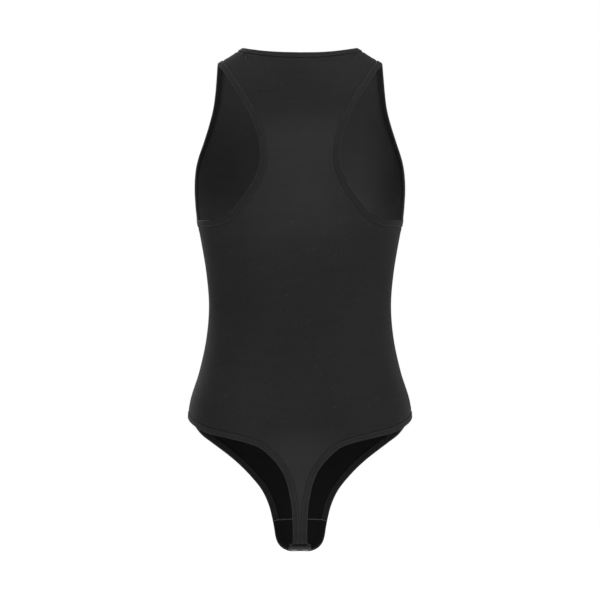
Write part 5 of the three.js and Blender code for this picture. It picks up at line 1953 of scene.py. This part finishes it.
@dataclass(frozen=True)
class Tab:
    """A fold of binding with two press studs: its length runs from its root to its free end.

    It is modelled as one closed slab, so its flat size is one layer's and not the whole cut's.
    """

    name: str
    node: str
    body: str
    half: Half
    join: float
    root: float
    end: float
    level: float
    width: float
    start_width: float
    flat: Pair
    blend: Pair
    lip: float = 0.0

    @property
    def sign(self) -> float:
        """1 if it runs from the front fold to the back, and -1 if it runs the other way."""
        return 1.0 if self.end > 0 else -1.0

    @property
    def fold(self) -> float:
        """Where its fold is along the closure."""
        return 0.0 if self.end > 0 else S.closure

    def middle(self, u: Array) -> tuple[Array, Array]:
        """The middle line's u and w, which follow the cloth up to the fold and then run straight.

        Args:
            u: Distances from the root towards the free end, 0 at the fold.

        Returns:
            The two numbers along the closure and up from it.
        """
        place = np.column_stack([0 * u, self.half.turn_of(0 * u, self.join - u)])
        curve = self.half.point(place)
        y, z = curve[:, 1] - S.front_fold_y, curve[:, 2] - S.crotch
        back, up = y * TILT_COS + z * TILT_SIN, z * TILT_COS - y * TILT_SIN
        share = ease(-1.0, 2.2, u)
        lip = self.lip * ease(24.0, 30.0, u)
        return mix(back, self.fold + self.sign * u, share), mix(up, self.level + lip, share)

    def rim(self, u: Array) -> Array:
        """The half width: narrower at the root and round at the free corners."""
        corner = S.tab_corner
        far = np.clip(u - (abs(self.end) - corner), 0, corner * 0.9999)
        rounded = self.width - corner + np.sqrt(corner**2 - far**2)
        flare = mix(self.start_width, self.width, ease(-self.root * 0.4, 6.0, u))
        return np.minimum(rounded, flare)

    def build(self) -> list[bpy.types.Object]:
        """Makes and dresses the tab and the stitches round it."""
        length, corner = abs(self.end), S.tab_corner
        turn = np.linspace(0, SIDE * 0.985, 14)
        straight = np.linspace(-self.root, length - corner, 52)[:-1]
        u = np.concatenate([straight, length - corner + corner * np.sin(turn)])
        half_thick = S.tab_thick / 2
        ends = np.clip((length - u) / half_thick, 0, 1)
        start = np.clip((u + self.root) / 0.5, 0, 1)
        close = np.sqrt(np.maximum(1 - (1 - ends) ** 2, 0.02)) * (0.55 + 0.45 * start)
        thick = half_thick * close * (1 + 0.25 * ease(1.0, -2.0, u))
        back, up = self.middle(u)
        slope = unit(np.column_stack([np.gradient(back), np.gradient(up)]))
        x, w = tab_section(self.rim(u), thick)
        leaned = back[:, None] - slope[:, 1:] * w * self.sign
        points = closure(x, leaned, up[:, None] + slope[:, :1] * w * self.sign)
        girth = run_of(np.column_stack([x[20], w[20], 0 * w[20]]))
        across, along = np.meshgrid(np.append(girth, girth[-1] + 1), u)
        wear = np.clip(1.4 - (self.rim(u)[:, None] - np.abs(x)) / 1.4, 0, 1) * 0.7
        shell = Shell()
        shell.tube(points, across, along, wear)
        piece = dress(shell.mesh(self.name), Slot.BINDING, "", [self.node])
        return [piece] + self.stitches()

    def stitches(self) -> list[bpy.types.Object]:
        """The two rows of stitches round the tab, one on each face."""
        length, inset = abs(self.end), 2.0
        corner = S.tab_corner - inset
        side_u = np.linspace(1.6, length - S.tab_corner, 60)
        turn = np.linspace(0, SIDE, 14)[1:]
        u = np.concatenate([side_u, length - S.tab_corner + corner * np.sin(turn)])
        round_x = self.width - S.tab_corner + corner * np.cos(turn)
        x = np.concatenate([self.rim(side_u) - inset, round_x])
        u = np.concatenate([u, u[::-1]])
        x = np.concatenate([x, -x[::-1]])
        back, up = self.middle(u)
        made = []
        for name, face in (("_stitch_over", 1.0), ("_stitch_under", -1.0)):
            line = closure(x, back, up + face * (S.tab_thick / 2 + 0.06))
            normal = np.broadcast_to(closure(0, 0, 1) - closure(0, 0, 0), line.shape) * face
            inward = unit(np.cross(normal, unit(np.gradient(line, axis=0))))
            path = Path(line, line + inward, normal, normal, False)
            row = thread(path, Seam(0.0, 0.05, 2.4, 0.16, 0.16), self.name + name)
            made.append(dress(row, Slot.THREAD, ""))
        return made

    def bend(self, pieces: Sequence[bpy.types.Object]) -> None:
        """Bakes each piece's placing into its mesh; the two ends of the turn across the fold are
        worked out but not used.
        """
        start, end = (
            closure(0.0, self.fold + self.sign * u, self.level) * MM for u in self.blend
        )
        for piece in pieces:
            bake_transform(piece)


FRONT_TAB = Tab(
    name="front_tab_cloth",
    node="front_snap_tab",
    body="front_tab",
    half=FRONT,
    join=float(FRONT_TURN[7][0]),
    root=4.5,
    end=S.closure + S.front_overhang,
    level=0.0,
    width=TAB_HALF,
    start_width=TAB_HALF + 0.6,
    flat=(0.031, 0.034),
    blend=(-2.6, 2.4),
    lip=1.9,
)
BACK_TAB = Tab(
    name="back_tab_cloth",
    node="back_snap_tab",
    body="back_tab",
    half=BACK,
    join=float(BACK_TURN[7][0]),
    root=5.0,
    end=-(S.closure - S.back_overhang),
    level=S.tab_rise,
    width=TAB_HALF - S.back_tab_inset,
    start_width=STRAP_HALF + 0.8,
    flat=(0.029, 0.029),
    blend=(-2.4, 2.6),
)


# ---- The room ----


@dataclass(frozen=True)
class Studio:
    """A pale floor, four soft lights and a white room, with the camera level behind the back."""

    camera_at: tuple[float, float, float] = (0.0, 20.0, 0.0081)
    lens: float = 888.9
    floor_height: float = -0.42
    ambient: float = 0.35
    lights: tuple[tuple[tuple[float, float, float], float, float], ...] = (
        ((-1.6, 3.2, 1.5), 2.4, 74.0),
        ((2.2, 2.8, 0.4), 2.4, 11.0),
        ((0.0, 0.4, 2.6), 2.0, 50.0),
        ((1.2, -3.0, 1.2), 2.4, 40.0),
    )

    def build(self) -> None:
        """Makes the room."""
        self.floor()
        self.room()
        for n, (place, size, power) in enumerate(self.lights):
            self.light(f"softbox_{n + 1}", place, size, power)
        data = bpy.data.cameras.new("camera")
        data.lens, data.sensor_width = self.lens, 36.0
        camera = bpy.data.objects.new("camera", data)
        camera.location = self.camera_at
        camera.rotation_euler = (SIDE, 0.0, math.pi)
        bpy.context.scene.collection.objects.link(camera)
        bpy.context.scene.camera = camera
        bpy.context.scene.view_settings.view_transform = "Standard"

    def light(self, name: str, place: tuple[float, float, float], size: float, power: float) -> None:
        """Adds a square soft light that faces the middle."""
        data = bpy.data.lights.new(name, "AREA")
        data.size, data.energy = size, power
        lamp = bpy.data.objects.new(name, data)
        lamp.location = place
        lamp.rotation_euler = Vector(place).to_track_quat("Z", "Y").to_euler()
        lamp.visible_camera = False
        bpy.context.scene.collection.objects.link(lamp)

    def floor(self) -> None:
        """Adds the floor."""
        shell = Shell()
        side = np.linspace(-6000, 6000, 9)
        x, y = np.meshgrid(side, side)
        shell.grid(np.stack([x, y, np.full_like(x, self.floor_height / MM)], -1), x, y)
        floor = shell.mesh("floor")
        made, g, shader = new_material("floor")
        shade = g.noise(g.add("ShaderNodeTexCoord").outputs["Object"], 1.2, 2.0)
        g.put(shader.inputs["Base Color"], g.blend(shade, (0.3, 0.3, 0.3, 1), (0.34, 0.34, 0.34, 1)))
        shader.inputs["Roughness"].default_value = 0.9
        shader.inputs["Emission Color"].default_value = (1, 1, 1, 1)
        shader.inputs["Emission Strength"].default_value = 0.9
        floor.data.materials.append(made)

    def room(self) -> None:
        """Lights everything a little from all round, and shows white behind it."""
        world = bpy.data.worlds.new("room")
        bpy.context.scene.world = world
        world.use_nodes = True
        g = Graph(world.node_tree)
        shader = world.node_tree.nodes["Background"]
        shader.inputs["Color"].default_value = (1, 1, 1, 1)
        seen = g.add("ShaderNodeLightPath").outputs["Is Camera Ray"]
        g.put(shader.inputs["Strength"], g.ramp(seen, 0, 1, self.ambient, 1.0))


# ---- Putting it together ----

PANELS = (
    Panel(
        name="back_panel_cloth",
        node="back_panel",
        half=BACK,
        hems=(NECK_HEMS[1], ARMHOLE_HEMS[1], LEG_HEMS[1]),
        bottom=STRAP_END,
        flat=(0.38, 0.72),
        area=0.155,
        leg_pucker=0.3,
    ),
    Panel(
        name="front_panel_cloth",
        node="front_panel",
        half=FRONT,
        hems=(NECK_HEMS[0], ARMHOLE_HEMS[0], LEG_HEMS[0]),
        bottom=GUSSET_SEAM,
        flat=(0.4, 0.64),
        area=0.178,
        leg_pucker=0.12,
        cup_rise=1.0,
    ),
)
PAIRED = (("armhole", ARMHOLE_PATHS, (0.0205, 0.58)), ("leg", LEG_PATHS, (0.0205, 0.59)))
BINDINGS = (
    Binding("neck_binding_tape", "neck_binding", "neck_elastic", NECK_PATH, (0.0205, 0.505)),
    *(
        Binding(
            name=f"{part}_binding_{name}_tape",
            node=f"{part}_binding_{name}",
            elastic_node=f"{part}_elastic_{name}",
            path=paths[name],
            flat=flat,
        )
        for part, paths, flat in PAIRED
        for name, _ in SIDES
    ),
)


def snaps() -> None:
    """Gives the press studs' parts their lacquer."""
    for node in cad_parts:
        if node.startswith("snap_"):
            piece = bpy.data.objects[node]
            piece.data.materials.clear()
            piece.data.materials.append(MATERIALS[Slot.SNAP])


def main() -> None:
    """Builds the leotard and the room."""
    logging.basicConfig(level=logging.INFO, format="%(message)s")
    Studio().build()
    for panel in PANELS:
        panel.build()
    Gusset().build()
    for binding in BINDINGS:
        binding.build()
    Seams().build()
    Label().build()
    for tab in (FRONT_TAB, BACK_TAB):
        tab.bend(tab.build())
    snaps()


if __name__ == "__main__":
    main()
